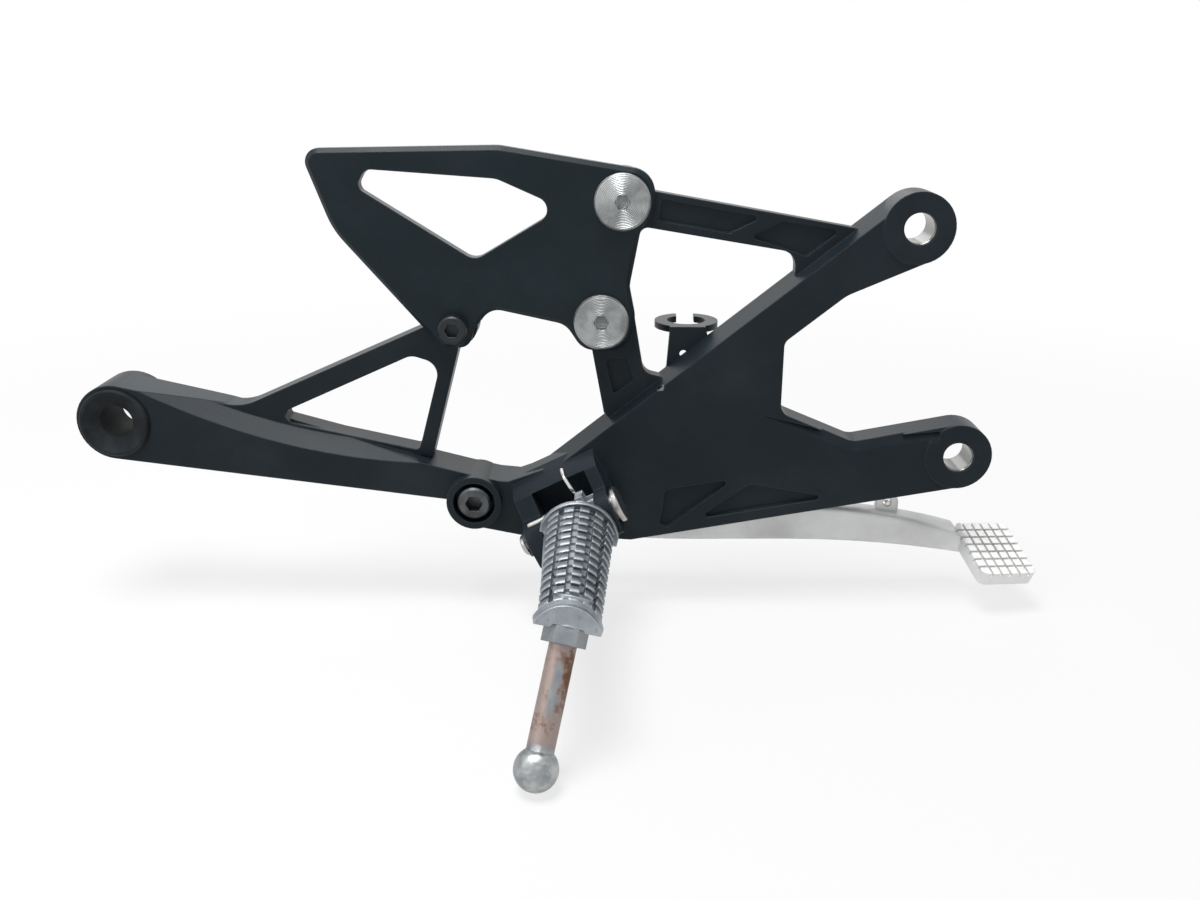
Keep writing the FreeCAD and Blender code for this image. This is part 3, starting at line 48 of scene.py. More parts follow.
class Term:
    # one shader value; arithmetic on it adds Math nodes to the tree it belongs to
    def __init__(self, bench, socket):
        self.bench = bench
        self.socket = socket

    def calc(self, operation, a, b=0.0):
        node = self.bench.add("ShaderNodeMath", {"operation": operation}, {0: a, 1: b})
        return Term(self.bench, node.outputs[0])

    def __add__(self, other):
        return self.calc("ADD", self, other)

    __radd__ = __add__

    def __sub__(self, other):
        return self.calc("SUBTRACT", self, other)

    def __rsub__(self, other):
        return self.calc("SUBTRACT", other, self)

    def __mul__(self, other):
        return self.calc("MULTIPLY", self, other)

    __rmul__ = __mul__

    def __truediv__(self, other):
        return self.calc("DIVIDE", self, other)

    def __rtruediv__(self, other):
        return self.calc("DIVIDE", other, self)

    def __pow__(self, other):
        return self.calc("POWER", self, other)

    def root(self):
        return self.calc("SQRT", self)

    def sine(self):
        return self.calc("SINE", self)

    def part(self):
        return self.calc("FRACT", self)

    def most(self, other):
        return self.calc("MAXIMUM", self, other)

    def over(self, low, high):
        # smooth step: 0 below low, 1 above high
        node = self.bench.add("ShaderNodeMapRange", {"interpolation_type": "SMOOTHSTEP"},
                              {"Value": self, "From Min": low, "From Max": high})
        return Term(self.bench, node.outputs[0])


class Bench:
    # a node tree and the one method that adds nodes to it
    def __init__(self, tree):
        self.tree = tree

    def add(self, kind, settings, inputs):
        node = self.tree.nodes.new(kind)
        for key, value in settings.items():
            setattr(node, key, value)
        for key, value in inputs.items():
            if isinstance(value, Term):
                self.tree.links.new(value.socket, node.inputs[key])
            elif value is not None:
                node.inputs[key].default_value = value
        return node

    def whiteForViewers(self, under, over, output, share=1.0):
        # camera, glossy and transmission rays see the shader over by the share, all others see the one under
        seen = self.add("ShaderNodeLightPath", {}, {})
        ray = Term(self, seen.outputs["Is Camera Ray"])
        for kind in ("Is Glossy Ray", "Is Transmission Ray"):
            ray = ray.most(Term(self, seen.outputs[kind]))
        mixed = self.add("ShaderNodeMixShader", {}, {0: ray * share, 1: Term(self, under.outputs[0]),
                                                     2: Term(self, over.outputs[0])})
        self.tree.links.new(mixed.outputs[0], self.tree.nodes[output].inputs["Surface"])


class Finish(Bench):
    # one material: its shader, the object's own coordinates and the patterns made from them
    def __init__(self, name, **fixed):
        self.material = bpy.data.materials.new(name)
        self.material.use_nodes = True
        super().__init__(self.material.node_tree)
        self.shader = self.tree.nodes["Principled BSDF"]
        self.feed(**fixed)
        self.spot = self.add("ShaderNodeTexCoord", {}, {})
        self.point = Term(self, self.spot.outputs["Object"])
        self.axes = None

    def feed(self, **sockets):
        for name, value in sockets.items():
            socket = self.shader.inputs[name.replace("_", " ")]
            if isinstance(value, Term):
                self.tree.links.new(value.socket, socket)
            else:
                socket.default_value = value
        return self.material

    def millimetres(self):
        # the object's own x, y and z in millimetres
        if self.axes is None:
            node = self.add("ShaderNodeSeparateXYZ", {}, {0: self.point})
            self.axes = [Term(self, out) * 1000.0 for out in node.outputs]
        return self.axes

    def offsets(self, spot):
        return [axis - middle for axis, middle in zip(self.millimetres(), spot)]

    def distanceFrom(self, spot):
        dx, dy, dz = self.offsets(spot)
        return (dx ** 2.0 + dy ** 2.0 + dz ** 2.0).root()

    def ringAbout(self, x, z):
        # distance in millimetres from an axis along Y
        px, _, pz = self.millimetres()
        return ((px - x) ** 2.0 + (pz - z) ** 2.0).root()

    def upward(self):
        # the z part of the object's own normal: 1 on level tops, 0 on upright walls
        node = self.add("ShaderNodeSeparateXYZ", {}, {0: Term(self, self.spot.outputs["Normal"])})
        return Term(self, node.outputs["Z"])

    def noise(self, scale, detail=4.0, rough=0.55, stretch=None):
        point = self.point
        if stretch is not None:
            node = self.add("ShaderNodeMapping", {}, {"Vector": point, "Scale": stretch})
            point = Term(self, node.outputs[0])
        node = self.add("ShaderNodeTexNoise", {}, {"Vector": point, "Scale": scale, "Detail": detail,
                                                   "Roughness": rough})
        return Term(self, node.outputs[0])

    def jag(self, scale, amount):
        # noise about zero, which makes a boundary uneven
        return (self.noise(scale) - 0.5) * amount

    def pits(self, scale):
        node = self.add("ShaderNodeTexVoronoi", {"feature": "F1"}, {"Vector": self.point, "Scale": scale})
        return Term(self, node.outputs["Distance"])

    def blend(self, share, low, high):
        # colours are mixed, never added
        low = low if isinstance(low, Term) else (*low, 1.0)
        high = high if isinstance(high, Term) else (*high, 1.0)
        node = self.add("ShaderNodeMix", {"data_type": "RGBA"}, {0: share, 6: low, 7: high})
        return Term(self, node.outputs[2])

    def bevelled(self, radius):
        node = self.add("ShaderNodeBevel", {"samples": 4}, {"Radius": radius})
        return Term(self, node.outputs[0])

    def wornEdges(self, radius, gain, band, speck=None, jag=0.0):
        # 0 on flat ground, rising towards 1 on edges sharper than the radius, in an uneven line
        flat = self.add("ShaderNodeNewGeometry", {}, {})
        dot = self.add("ShaderNodeVectorMath", {"operation": "DOT_PRODUCT"},
                       {0: self.bevelled(radius), 1: Term(self, flat.outputs["Normal"])})
        worn = (1.0 - Term(self, dot.outputs["Value"])) * gain
        if speck is not None:
            worn = worn + self.jag(speck, jag)
        return worn.over(*band)

    def bump(self, height, strength, depth, normal=None):
        node = self.add("ShaderNodeBump", {}, {"Height": height, "Strength": strength, "Distance": depth,
                                               "Normal": normal})
        return Term(self, node.outputs[0])

    def relief(self, height, strength, depth, corner):
        # a fine relief on a surface whose corners are rounded
        return self.bump(height, strength, depth, self.bevelled(corner))


def wear(node, material):
    nodes[node].data.materials.clear()
    nodes[node].data.materials.append(material)


# in the settings a pattern is its scale, detail and roughness, a band is where a mask starts and is full,
# places are in millimetres, and the radius, depth and corner of a worn edge or a relief are in metres
bracketPaint = {
    "colour": (0.0105, 0.0165, 0.0215), "dust": (0.058, 0.073, 0.086), "metal": (0.2, 0.2, 0.195),
    "specular": 0.13, "rough": 0.27, "roughCloud": 0.14, "roughGrain": 0.05, "bareShine": 0.18,
    "grain": (900.0, 3.0), "pits": 700.0, "cloud": (28.0, 5.0), "dustBand": (0.35, 0.75), "dustShare": 0.16,
    "rub": {"radius": 0.0011, "gain": 5.0, "band": (0.55, 0.95), "speck": 180.0, "jag": 0.9},
    "rubShare": 0.5, "reliefShare": 0.5, "relief": {"strength": 0.16, "depth": 0.00025, "corner": 0.0008},
    "lugs": ((0.0, 0.0), (23.0, -87.0)), "boreBand": (5.73, 5.97),
    "chip": (-92.5, -13.0, -59.5), "chipBand": (1.6, 2.1), "chipSpeck": 420.0, "chipJag": 2.4,
}


def makeBracketPaint():
    s = bracketPaint
    f = Finish("satinBlackCasting", Specular_IOR_Level=s["specular"])
    grain = f.noise(*s["grain"])
    cloud = f.noise(*s["cloud"])
    chipGap = f.distanceFrom(s["chip"]) + f.jag(s["chipSpeck"], s["chipJag"])
    bare = 1.0 - chipGap.over(*s["chipBand"])            # bare metal in a chip and in the front lugs' bores
    for lugX, lugZ in s["lugs"]:
        bare = bare.most(1.0 - f.ringAbout(lugX, lugZ).over(*s["boreBand"]))
    rub = f.wornEdges(**s["rub"])                        # paint thins on sharp edges
    colour = f.blend(cloud.over(*s["dustBand"]) * s["dustShare"], s["colour"], s["dust"])
    colour = f.blend(rub * s["rubShare"], colour, s["dust"])
    colour = f.blend(bare, colour, s["metal"])
    rough = s["rough"] + cloud * s["roughCloud"] + grain * s["roughGrain"] - bare * s["bareShine"]
    normal = f.relief((grain + f.pits(s["pits"])) * s["reliefShare"], **s["relief"])
    return f.feed(Base_Color=colour, Roughness=rough, Metallic=bare, Normal=normal)


guardPaint = {
    "colour": (0.0095, 0.0175, 0.0225), "dust": (0.056, 0.07, 0.083), "scuff": (0.11, 0.115, 0.12),
    "specular": 0.15, "rough": 0.27, "roughCloud": 0.16, "roughScratch": 0.1,
    "grain": (1100.0, 2.0), "cloud": (34.0, 5.0), "dustBand": (0.4, 0.8), "dustShare": 0.15,
    "hair": (60.0, 6.0, 0.7, (1.0, 1.0, 9.0)), "hairBand": (0.66, 0.72),
    "patch": 22.0, "patchBand": (0.45, 0.7), "scratchShare": 0.35,
    "rub": {"radius": 0.0009, "gain": 5.0, "band": (0.5, 0.95), "speck": 150.0, "jag": 0.8},
    "rubShare": 0.45, "relief": {"strength": 0.12, "depth": 0.0002, "corner": 0.0006},
}


def makeGuardPaint(name):
    s = guardPaint
    f = Finish(name, Specular_IOR_Level=s["specular"])
    cloud = f.noise(*s["cloud"])
    scratch = f.noise(*s["hair"]).over(*s["hairBand"]) * f.noise(s["patch"]).over(*s["patchBand"])
    rub = f.wornEdges(**s["rub"])
    colour = f.blend(cloud.over(*s["dustBand"]) * s["dustShare"], s["colour"], s["dust"])
    colour = f.blend(scratch * s["scratchShare"], colour, s["scuff"])
    colour = f.blend(rub * s["rubShare"], colour, s["scuff"])
    rough = s["rough"] + cloud * s["roughCloud"] + scratch * s["roughScratch"]
    normal = f.relief(f.noise(*s["grain"]), **s["relief"])
    return f.feed(Base_Color=colour, Roughness=rough, Normal=normal)


turnedSteel = {
    "colour": (0.4, 0.415, 0.415), "dull": (0.12, 0.125, 0.127), "rough": 0.24, "roughStain": 0.22,
    "upper": (-106.7, 9.0), "lower": (-114.3, -34.9), "between": (-13.5, -12.5),
    "ridges": 11.0, "waver": 60.0, "waverShare": 1.5,
    "stain": (90.0, 5.0), "stainBand": (0.4, 0.7), "stainShare": 0.7,
    "relief": {"strength": 0.75, "depth": 0.00012, "corner": 0.0004},
}


def makeTurnedSteel():
    s = turnedSteel
    f = Finish("turnedStainless", Metallic=1.0)
    onUpper = f.millimetres()[2].over(*s["between"])
    middleX, middleZ = [onUpper * (high - low) + low for high, low in zip(s["upper"], s["lower"])]
    radius = f.ringAbout(middleX, middleZ)
    ridge = (radius * s["ridges"] + f.noise(s["waver"]) * s["waverShare"]).sine()    # rings of the lathe
    stain = f.noise(*s["stain"])
    colour = f.blend(stain.over(*s["stainBand"]) * s["stainShare"], s["colour"], s["dull"])
    normal = f.relief(ridge, **s["relief"])
    return f.feed(Base_Color=colour, Roughness=s["rough"] + stain * s["roughStain"], Normal=normal)


pinSteel = {
    "colour": (0.46, 0.46, 0.45), "dull": (0.16, 0.155, 0.15), "rough": 0.18, "roughStain": 0.24,
    "stain": (140.0, 5.0), "stainBand": (0.45, 0.8), "grain": 900.0,
    "relief": {"strength": 0.1, "depth": 0.0001, "corner": 0.0004},
}


def makePinSteel():
    s = pinSteel
    f = Finish("pinSteel", Metallic=1.0)
    stain = f.noise(*s["stain"])
    colour = f.blend(stain.over(*s["stainBand"]), s["colour"], s["dull"])
    normal = f.relief(f.noise(s["grain"]), **s["relief"])
    return f.feed(Base_Color=colour, Roughness=s["rough"] + stain * s["roughStain"], Normal=normal)


blackSteel = {
    "colour": (0.014, 0.018, 0.021), "pale": (0.032, 0.037, 0.041), "worn": (0.13, 0.14, 0.15),
    "metallic": 0.6, "rough": 0.32, "roughCloud": 0.15, "cloud": (160.0, 5.0), "grain": 1200.0,
    "rub": {"radius": 0.0005, "gain": 6.0, "band": (0.4, 1.0)}, "rubShare": 0.3,
    "relief": {"strength": 0.12, "depth": 0.0001, "corner": 0.0003},
}


def makeBlackSteel():
    s = blackSteel
    f = Finish("blackOxideSteel", Metallic=s["metallic"])
    cloud = f.noise(*s["cloud"])
    colour = f.blend(cloud, s["colour"], s["pale"])
    colour = f.blend(f.wornEdges(**s["rub"]) * s["rubShare"], colour, s["worn"])
    normal = f.relief(f.noise(s["grain"]), **s["relief"])
    return f.feed(Base_Color=colour, Roughness=s["rough"] + cloud * s["roughCloud"], Normal=normal)


zincSteel = {
    "zincPlatedSteel": ((0.34, 0.345, 0.35), (0.2, 0.205, 0.21)),
    # a darker copy of the zinc plating: painted shade for parts that sit in shade
    "shadedZincSteel": ((0.115, 0.122, 0.13), (0.055, 0.059, 0.063)),
    "spot": (0.16, 0.12, 0.09), "rough": 0.34, "roughShare": 0.2,
    "cloud": (130.0, 5.0), "cloudBand": (0.3, 0.7),
    "spots": (420.0, 6.0, 0.7), "spotBand": (0.62, 0.74), "spotShare": 0.6,
    "relief": {"strength": 0.12, "depth": 0.0002, "corner": 0.0004},
}


def makeZincSteel(name):
    s = zincSteel
    f = Finish(name, Metallic=1.0)
    bright, dull = s[name]
    cloud = f.noise(*s["cloud"])
    spots = f.noise(*s["spots"]).over(*s["spotBand"])
    colour = f.blend(cloud.over(*s["cloudBand"]), bright, dull)
    colour = f.blend(spots * s["spotShare"], colour, s["spot"])
    normal = f.relief(cloud + spots * s["spotShare"], **s["relief"])
    return f.feed(Base_Color=colour, Roughness=s["rough"] + (cloud + spots) * s["roughShare"], Normal=normal)


grommetRubber = {
    "colour": (0.009, 0.0115, 0.0135), "pale": (0.027, 0.031, 0.034), "specular": 0.16,
    "rough": 0.55, "roughCloud": 0.2, "cloud": (120.0, 6.0), "paleBand": (0.35, 0.8),
    "middle": (-302.0, -75.0), "rings": 5.5, "ringShare": 0.35, "grain": 1400.0,
    "strength": 0.22, "depth": 0.0002,
}


def makeGrommetRubber():
    s = grommetRubber
    f = Finish("grommetRubber", Specular_IOR_Level=s["specular"])
    cloud = f.noise(*s["cloud"])
    ring = (f.ringAbout(*s["middle"]) * s["rings"]).sine()
    colour = f.blend(cloud.over(*s["paleBand"]), s["colour"], s["pale"])
    normal = f.bump(ring * s["ringShare"] + f.noise(s["grain"]), s["strength"], s["depth"])
    return f.feed(Base_Color=colour, Roughness=s["rough"] + cloud * s["roughCloud"], Normal=normal)


pegMetal = {
    # grime colours real dirt specks, and also the painted shade in the row gaps and behind each tooth
    "bright": (0.56, 0.59, 0.62), "dull": (0.23, 0.26, 0.29), "grime": (0.045, 0.052, 0.06),
    "metallic": 0.92, "rough": 0.44, "roughCloud": 0.12, "edgeShine": 0.14,
    "root": (-122.7, -34.9, -112.8), "roll": 12.0, "length": 79.0, "rootRadius": 15.0, "taper": 3.2,
    "sway": -1.65, "rim": 2.4, "rows": 13, "rowGap": 2.1,
    "startBand": (0.02, 0.035), "endBand": (0.95, 0.97), "topBand": (1.0, 5.0), "groundBand": (0.7, 2.0),
    "grain": (750.0, 4.0), "pits": 520.0, "cloud": (60.0, 5.0),
    "brightBand": (0.3, 0.75), "brightShare": 0.6, "grainBand": (0.56, 0.75), "grainShare": 0.45,
    # painted light and shade on the teeth: lighter gutters between the columns, painted shade in the row
    # gaps and behind each tooth
    "rowGapShadeSide": (-0.02, 0.06), "toothShadeRun": 0.5, "gutterLightShare": 0.45, "rowGapShadeBase": 0.55,
    "rowGapShadeCloud": 0.45, "toothShadeBase": 0.45, "toothShadeCloud": 0.3,
    "rub": {"radius": 0.0009, "gain": 4.0, "band": (0.35, 0.95), "speck": 260.0, "jag": 0.6},
    "rubShare": 0.8, "reliefShare": 0.6, "relief": {"strength": 0.28, "depth": 0.0003, "corner": 0.0005},
    "domePower": 0.6, "domeStrength": 0.85, "domeDepth": 0.0011,
}


def makePegMetal():
    s = pegMetal
    f = Finish("wornCastAluminium", Metallic=s["metallic"])
    grain = f.noise(*s["grain"])
    cloud = f.noise(*s["cloud"])
    px, py, pz = f.offsets(s["root"])
    cosine, sine = math.cos(math.radians(s["roll"])), math.sin(math.radians(s["roll"]))
    share = py / -s["length"]                                      # 0 at the root, 1 at the end
    across = px * cosine - pz * sine - share * s["sway"]
    height = px * sine + pz * cosine - share * s["taper"]
    crest = s["rootRadius"] - share * s["taper"]
    below = crest - (across ** 2.0 + height ** 2.0).root()         # depth under the teeth's crests
    toothed = (1.0 - share.over(*s["endBand"])) * share.over(*s["startBand"]) * height.over(*s["topBand"])
    ground = below.over(*s["groundBand"]) * toothed
    pitch = (s["length"] - s["rim"]) / s["rows"]
    step = ((share * s["length"] - s["rim"]) / pitch).part()       # 0 to 1 over a gap and its tooth
    gapShare = s["rowGap"] / pitch
    # painted shade: the gaps between the rows of teeth are darkened
    rowGapShade = ground * (1.0 - step.over(*[gapShare + side for side in s["rowGapShadeSide"]]))
    # painted shade: each tooth is darkened just behind its row gap
    paintedToothShade = (1.0 - step.over(gapShare, gapShare + s["toothShadeRun"])) * (1.0 - ground) * toothed
    dome = ((step - gapShare) * (math.pi / (1.0 - gapShare))).sine().most(0.0) ** s["domePower"]
    edge = f.wornEdges(**s["rub"])
    colour = f.blend(cloud.over(*s["brightBand"]) * s["brightShare"], s["dull"], s["bright"])
    colour = f.blend(grain.over(*s["grainBand"]) * s["grainShare"], colour, s["grime"])
    # painted light: the gutters between the columns of teeth are lightened
    colour = f.blend(ground * (1.0 - rowGapShade) * s["gutterLightShare"], colour, s["bright"])
    colour = f.blend(rowGapShade * (s["rowGapShadeBase"] + cloud * s["rowGapShadeCloud"]), colour, s["grime"])
    colour = f.blend(paintedToothShade * (s["toothShadeBase"] + cloud * s["toothShadeCloud"]), colour, s["grime"])
    colour = f.blend(edge * (1.0 - rowGapShade) * s["rubShare"], colour, s["bright"])
    cast = f.relief((grain + f.pits(s["pits"])) * s["reliefShare"], **s["relief"])
    normal = f.bump(dome * (1.0 - ground), s["domeStrength"], s["domeDepth"], cast)    # rounds the teeth
    rough = s["rough"] + cloud * s["roughCloud"] - edge * s["edgeShine"]
    return f.feed(Base_Color=colour, Roughness=rough, Normal=normal)


feelerSteel = {
    "zinc": (0.19, 0.215, 0.24), "pale": (0.33, 0.34, 0.345), "rust": (0.17, 0.075, 0.04),
    "blush": (0.36, 0.27, 0.235), "scraped": (0.55, 0.56, 0.55),
    "seat": (-123.41, -111.75, -108.29), "way": (-0.2007, -0.5, -0.8425), "side": (0.9729, 0.0, -0.2318),
    "shankStart": (5.1, 5.8), "shankEnd": (34.4, 37.4), "ballBand": (35.4, 38.4),
    "blot": (95.0, 6.0, 0.62), "blotBand": (0.3, 0.7), "speck": (520.0, 5.0, 0.7), "blushShare": 0.8,
    "highlightStripBand": (0.6, 2.4), "highlightStripStart": (8.0, 13.0), "highlightStripEnd": (24.0, 30.0), "highlightStripJag": 7.0,
    "rustMix": (0.75, 0.35), "rustBand": (0.5, 0.68),
    "strayMix": (0.6, 0.5), "strayBand": (0.66, 0.8), "strayShare": 0.45,
    "scrape": (210.0, 4.0, 0.6), "scrapeBand": (0.42, 0.64), "scrapeShare": 0.6,
    "dents": (130.0, 2.0), "dentStrength": 0.9, "dentDepth": 0.0016,
    "corner": 0.0005, "strength": 0.3, "depth": 0.0004, "blotRelief": 0.4,
    "rough": 0.42, "roughRust": 0.35, "roughBlot": 0.12, "ballShine": 0.1,
    "metallic": 0.85, "rustDulls": 0.7, "shankDulls": 0.1,
}


def makeFeelerSteel():
    s = feelerSteel
    f = Finish("rustedFeelerSteel")
    px, py, pz = f.offsets(s["seat"])
    along, off = [px * way[0] + py * way[1] + pz * way[2] for way in (s["way"], s["side"])]
    blot = f.noise(*s["blot"])
    speck = f.noise(*s["speck"])
    shank = along.over(*s["shankStart"]) * (1.0 - along.over(*s["shankEnd"]))
    ball = along.over(*s["ballBand"])
    # off runs across the shank, square to the camera's view
    off = off + (blot - 0.5) * s["highlightStripJag"]
    paintedHighlightStrip = (1.0 - (off * off).root().over(*s["highlightStripBand"])) * along.over(*s["highlightStripStart"])
    paintedHighlightStrip = paintedHighlightStrip * (1.0 - along.over(*s["highlightStripEnd"]))             # a painted highlight: a paler uncorroded stripe runs down the middle of the shank as the camera sees it
    # the shank outside the painted highlight stripe takes the blush and rust
    corroded = shank * (1.0 - paintedHighlightStrip)
    rustMix, strayMix = [blot * broad + speck * fine for broad, fine in (s["rustMix"], s["strayMix"])]
    rust = rustMix.over(*s["rustBand"]) * corroded
    stray = strayMix.over(*s["strayBand"]) * s["strayShare"]
    colour = f.blend(blot.over(*s["blotBand"]), s["zinc"], s["pale"])
    colour = f.blend(corroded * s["blushShare"], colour, s["blush"])
    colour = f.blend(rust.most(stray), colour, s["rust"])
    scrape = f.noise(*s["scrape"]).over(*s["scrapeBand"]) * ball
    colour = f.blend(scrape * s["scrapeShare"], colour, s["scraped"])
    dented = f.relief(f.noise(*s["dents"]) * ball, s["dentStrength"], s["dentDepth"], s["corner"])
    normal = f.bump(speck + blot * s["blotRelief"], s["strength"], s["depth"], dented)
    rough = s["rough"] + rust * s["roughRust"] + blot * s["roughBlot"] - ball * s["ballShine"]
    metallic = s["metallic"] - rust * s["rustDulls"] - shank * s["shankDulls"]
    return f.feed(Base_Color=colour, Roughness=rough, Metallic=metallic, Normal=normal)


pedalMetal = {
    "bright": (0.76, 0.765, 0.76), "dull": (0.56, 0.565, 0.56), "grime": (0.2, 0.195, 0.19),
    "rubbedAndLitTop": (0.9, 0.9, 0.89), "rough": 0.48, "roughCloud": 0.12, "metallic": 0.55, "polish": 0.35,
    "grain": (1300.0, 3.0), "cloud": (40.0, 5.0), "cloudBand": (0.3, 0.8),
    "spots": (230.0, 6.0, 0.7), "spotBand": (0.66, 0.8), "spotShare": 0.35,
    "rub": {"radius": 0.0008, "gain": 4.0, "band": (0.3, 0.95)}, "rubShare": 0.5,
    "padBand": (32.0, 34.0), "topBand": (0.6, 0.85), "wallShare": 0.35,
    "shoe": (300.0, 4.0), "shoeBand": (0.2, 0.45),
    "relief": {"strength": 0.2, "depth": 0.0002, "corner": 0.0007},
}


def makePedalMetal():
    s = pedalMetal
    f = Finish("blastedSilverCasting")
    cloud = f.noise(*s["cloud"])
    pad = f.millimetres()[0].over(*s["padBand"])
    padTopsFacingUp = pad * (s["wallShare"] + f.upward().over(*s["topBand"]) * (1.0 - s["wallShare"]))
    polishAndTopLight = padTopsFacingUp * f.noise(*s["shoe"]).over(*s["shoeBand"])    # shoe leather polishes the pad's top in patches, and the faces that point up are painted lighter as well, a painted highlight on the tops
    colour = f.blend(cloud.over(*s["cloudBand"]), s["bright"], s["dull"])
    colour = f.blend(f.noise(*s["spots"]).over(*s["spotBand"]) * s["spotShare"], colour, s["grime"])
    colour = f.blend(f.wornEdges(**s["rub"]) * s["rubShare"], colour, s["bright"])
    colour = f.blend(polishAndTopLight, colour, s["rubbedAndLitTop"])
    normal = f.relief(f.noise(*s["grain"]), **s["relief"])
    return f.feed(Base_Color=colour, Roughness=s["rough"] + cloud * s["roughCloud"],
                  Metallic=s["metallic"] + polishAndTopLight * s["polish"], Normal=normal)


springSteel = {
    "bright": (0.78, 0.78, 0.76), "dull": (0.52, 0.51, 0.49), "cloud": (240.0, 5.0), "grain": 1500.0,
    "rough": 0.2, "roughCloud": 0.18, "strength": 0.08, "depth": 0.0001,
}


def makeSpringSteel():
    s = springSteel
    f = Finish("brightSpringWire", Metallic=1.0)
    cloud = f.noise(*s["cloud"])
    colour = f.blend(cloud, s["bright"], s["dull"])
    normal = f.bump(f.noise(s["grain"]), s["strength"], s["depth"])
    return f.feed(Base_Color=colour, Roughness=s["rough"] + cloud * s["roughCloud"], Normal=normal)


bushBronze = {
    "bright": (0.58, 0.4, 0.2), "dull": (0.4, 0.27, 0.14), "cloud": (300.0, 5.0), "pits": 1200.0,
    "rough": 0.42, "roughCloud": 0.2, "strength": 0.2, "depth": 0.0002,
}


def makeBushBronze():
    s = bushBronze
    f = Finish("sinteredBronze", Metallic=1.0)
    cloud = f.noise(*s["cloud"])
    colour = f.blend(cloud, s["bright"], s["dull"])
    normal = f.bump(f.pits(s["pits"]), s["strength"], s["depth"])
    return f.feed(Base_Color=colour, Roughness=s["rough"] + cloud * s["roughCloud"], Normal=normal)


wire = makeSpringSteel()
zinc = makeZincSteel("zincPlatedSteel")
shadedZinc = makeZincSteel("shadedZincSteel")
wear("footrest_bracket", makeBracketPaint())
wear("heel_guard", makeGuardPaint("satinBlackGuard"))
wear("stop_switch_stay", makeGuardPaint("blackStampedSteel"))
wear("heel_guard_bolts", makeTurnedSteel())
wear("hinge_pin", makePinSteel())
wear("heel_guard_screw", makeBlackSteel())
wear("rear_lug_grommet", makeGrommetRubber())
wear("footpeg", makePegMetal())
wear("feeler_bolt", makeFeelerSteel())
wear("brake_pedal", makePedalMetal())
wear("pedal_bush", makeBushBronze())
for name in ("pedal_pivot_sleeve", "pedal_thrust_washer", "stay_screw"):
    wear(name, zinc)
# these parts sit in shade and wear the darker zinc copy, painted shade
for name in ("pedal_pivot_bolt", "pin_washer", "pin_clip"):
    wear(name, shadedZinc)
for name in ("peg_return_spring", "pedal_return_spring"):
    wear(name, wire)
print("finishes made")


def tubeMesh(name, points):
    # points is rows x columns x 3, each row a closed ring; each cell becomes a face, both ends are capped
    rows, cols, _ = points.shape
    across = np.arange(cols)
    along = np.arange(rows - 1)[:, None]
    a = along * cols + across
    b = along * cols + (across + 1) % cols
    faces = np.stack([a, b, b + cols, a + cols], axis=-1).reshape(-1, 4).tolist()
    faces.append(list(range(cols - 1, -1, -1)))
    faces.append(list(range((rows - 1) * cols, rows * cols)))
    mesh = bpy.data.meshes.new(name)
    mesh.from_pydata(points.reshape(-1, 3).tolist(), [], faces)
    mesh.update()
    mesh.polygons.foreach_set("use_smooth", [True] * (len(faces) - 2) + [False] * 2)    # the caps stay flat
    piece = bpy.data.objects.new(name, mesh)
    bpy.context.scene.collection.objects.link(piece)
    return piece


def smoothPath(corners, count):
    # a path through rows of corners: a Catmull-Rom curve, each stretch a cubic of its four nearest corners
    padded = np.vstack([2 * corners[0] - corners[1], corners, 2 * corners[-1] - corners[-2]])
    t = np.linspace(0.0, len(corners) - 1.000001, count)           # stops just short of the last corner
    k = t.astype(int)
    u = (t - k)[:, None]
    p0, p1, p2, p3 = padded[k], padded[k + 1], padded[k + 2], padded[k + 3]
    return 0.5 * (2 * p1 + (p2 - p0) * u + (2 * p0 - 5 * p1 + 4 * p2 - p3) * u ** 2
                  + (3 * p1 - p0 - 3 * p2 + p3) * u ** 3)


def wireAlong(name, path, radius, sides=12):
    # round wire: at each station a circle of the radius, square to the path, its start carried on untwisted
    ways = np.gradient(path, axis=0)
    ways /= np.linalg.norm(ways, axis=1)[:, None]
    side = np.cross(ways[0], (0.31, 0.87, 0.38))                   # any way that isn't the wire's own
    sideRows = np.empty_like(path)
    for k, way in enumerate(ways):
        side = side - way * side.dot(way)
        side = side / np.linalg.norm(side)
        sideRows[k] = side
    otherRows = np.cross(ways, sideRows)
    turn = np.linspace(0.0, 2 * np.pi, sides, endpoint=False)[None, :, None]
    ring = sideRows[:, None, :] * np.cos(turn) + otherRows[:, None, :] * np.sin(turn)
    return tubeMesh(name, path[:, None, :] + radius * ring)


def hangSpring(piece, node, start, end):
    # the wire stands for the CAD spring and runs from the bracket to the body it pulls; it takes the wire
    # finish, the CAD spring is hidden and the wire's placement is baked into its mesh
    piece.data.materials.append(wire)
    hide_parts(node)
    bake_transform(piece)


# in metres; the legs' corners run along, out and up, the lead's from the peg's rest, the tail's from roof
pegSpring = {
    "pin": (-0.1236, -0.026, -0.11), "angle": 26.0, "coil": 0.0056, "wire": 0.00075, "room": 0.0046,
    "turns": 5, "pointsPerTurn": 16, "firstAngle": 12.0, "extraSweep": 168.0, "extraPoints": 8,
    "stations": 420, "rest": (0.0, 0.008, 0.00965), "roof": 0.0166, "held": 0.0044, "pulled": -0.0046,
    "lead": ((-0.01525, 0.0, 0.0), (-0.011, 0.0, 0.0), (-0.0066, 0.0, 0.0), (-0.0049, -0.0004, -0.0012)),
    "tail": ((0.0, -0.0042, -0.0086), (-0.0004, -0.0016, -0.0046), (-0.0011, -0.0028, -0.0002),
             (-0.0014, -0.004, 0.0013), (-0.0017, -0.008, 0.0027)),
}


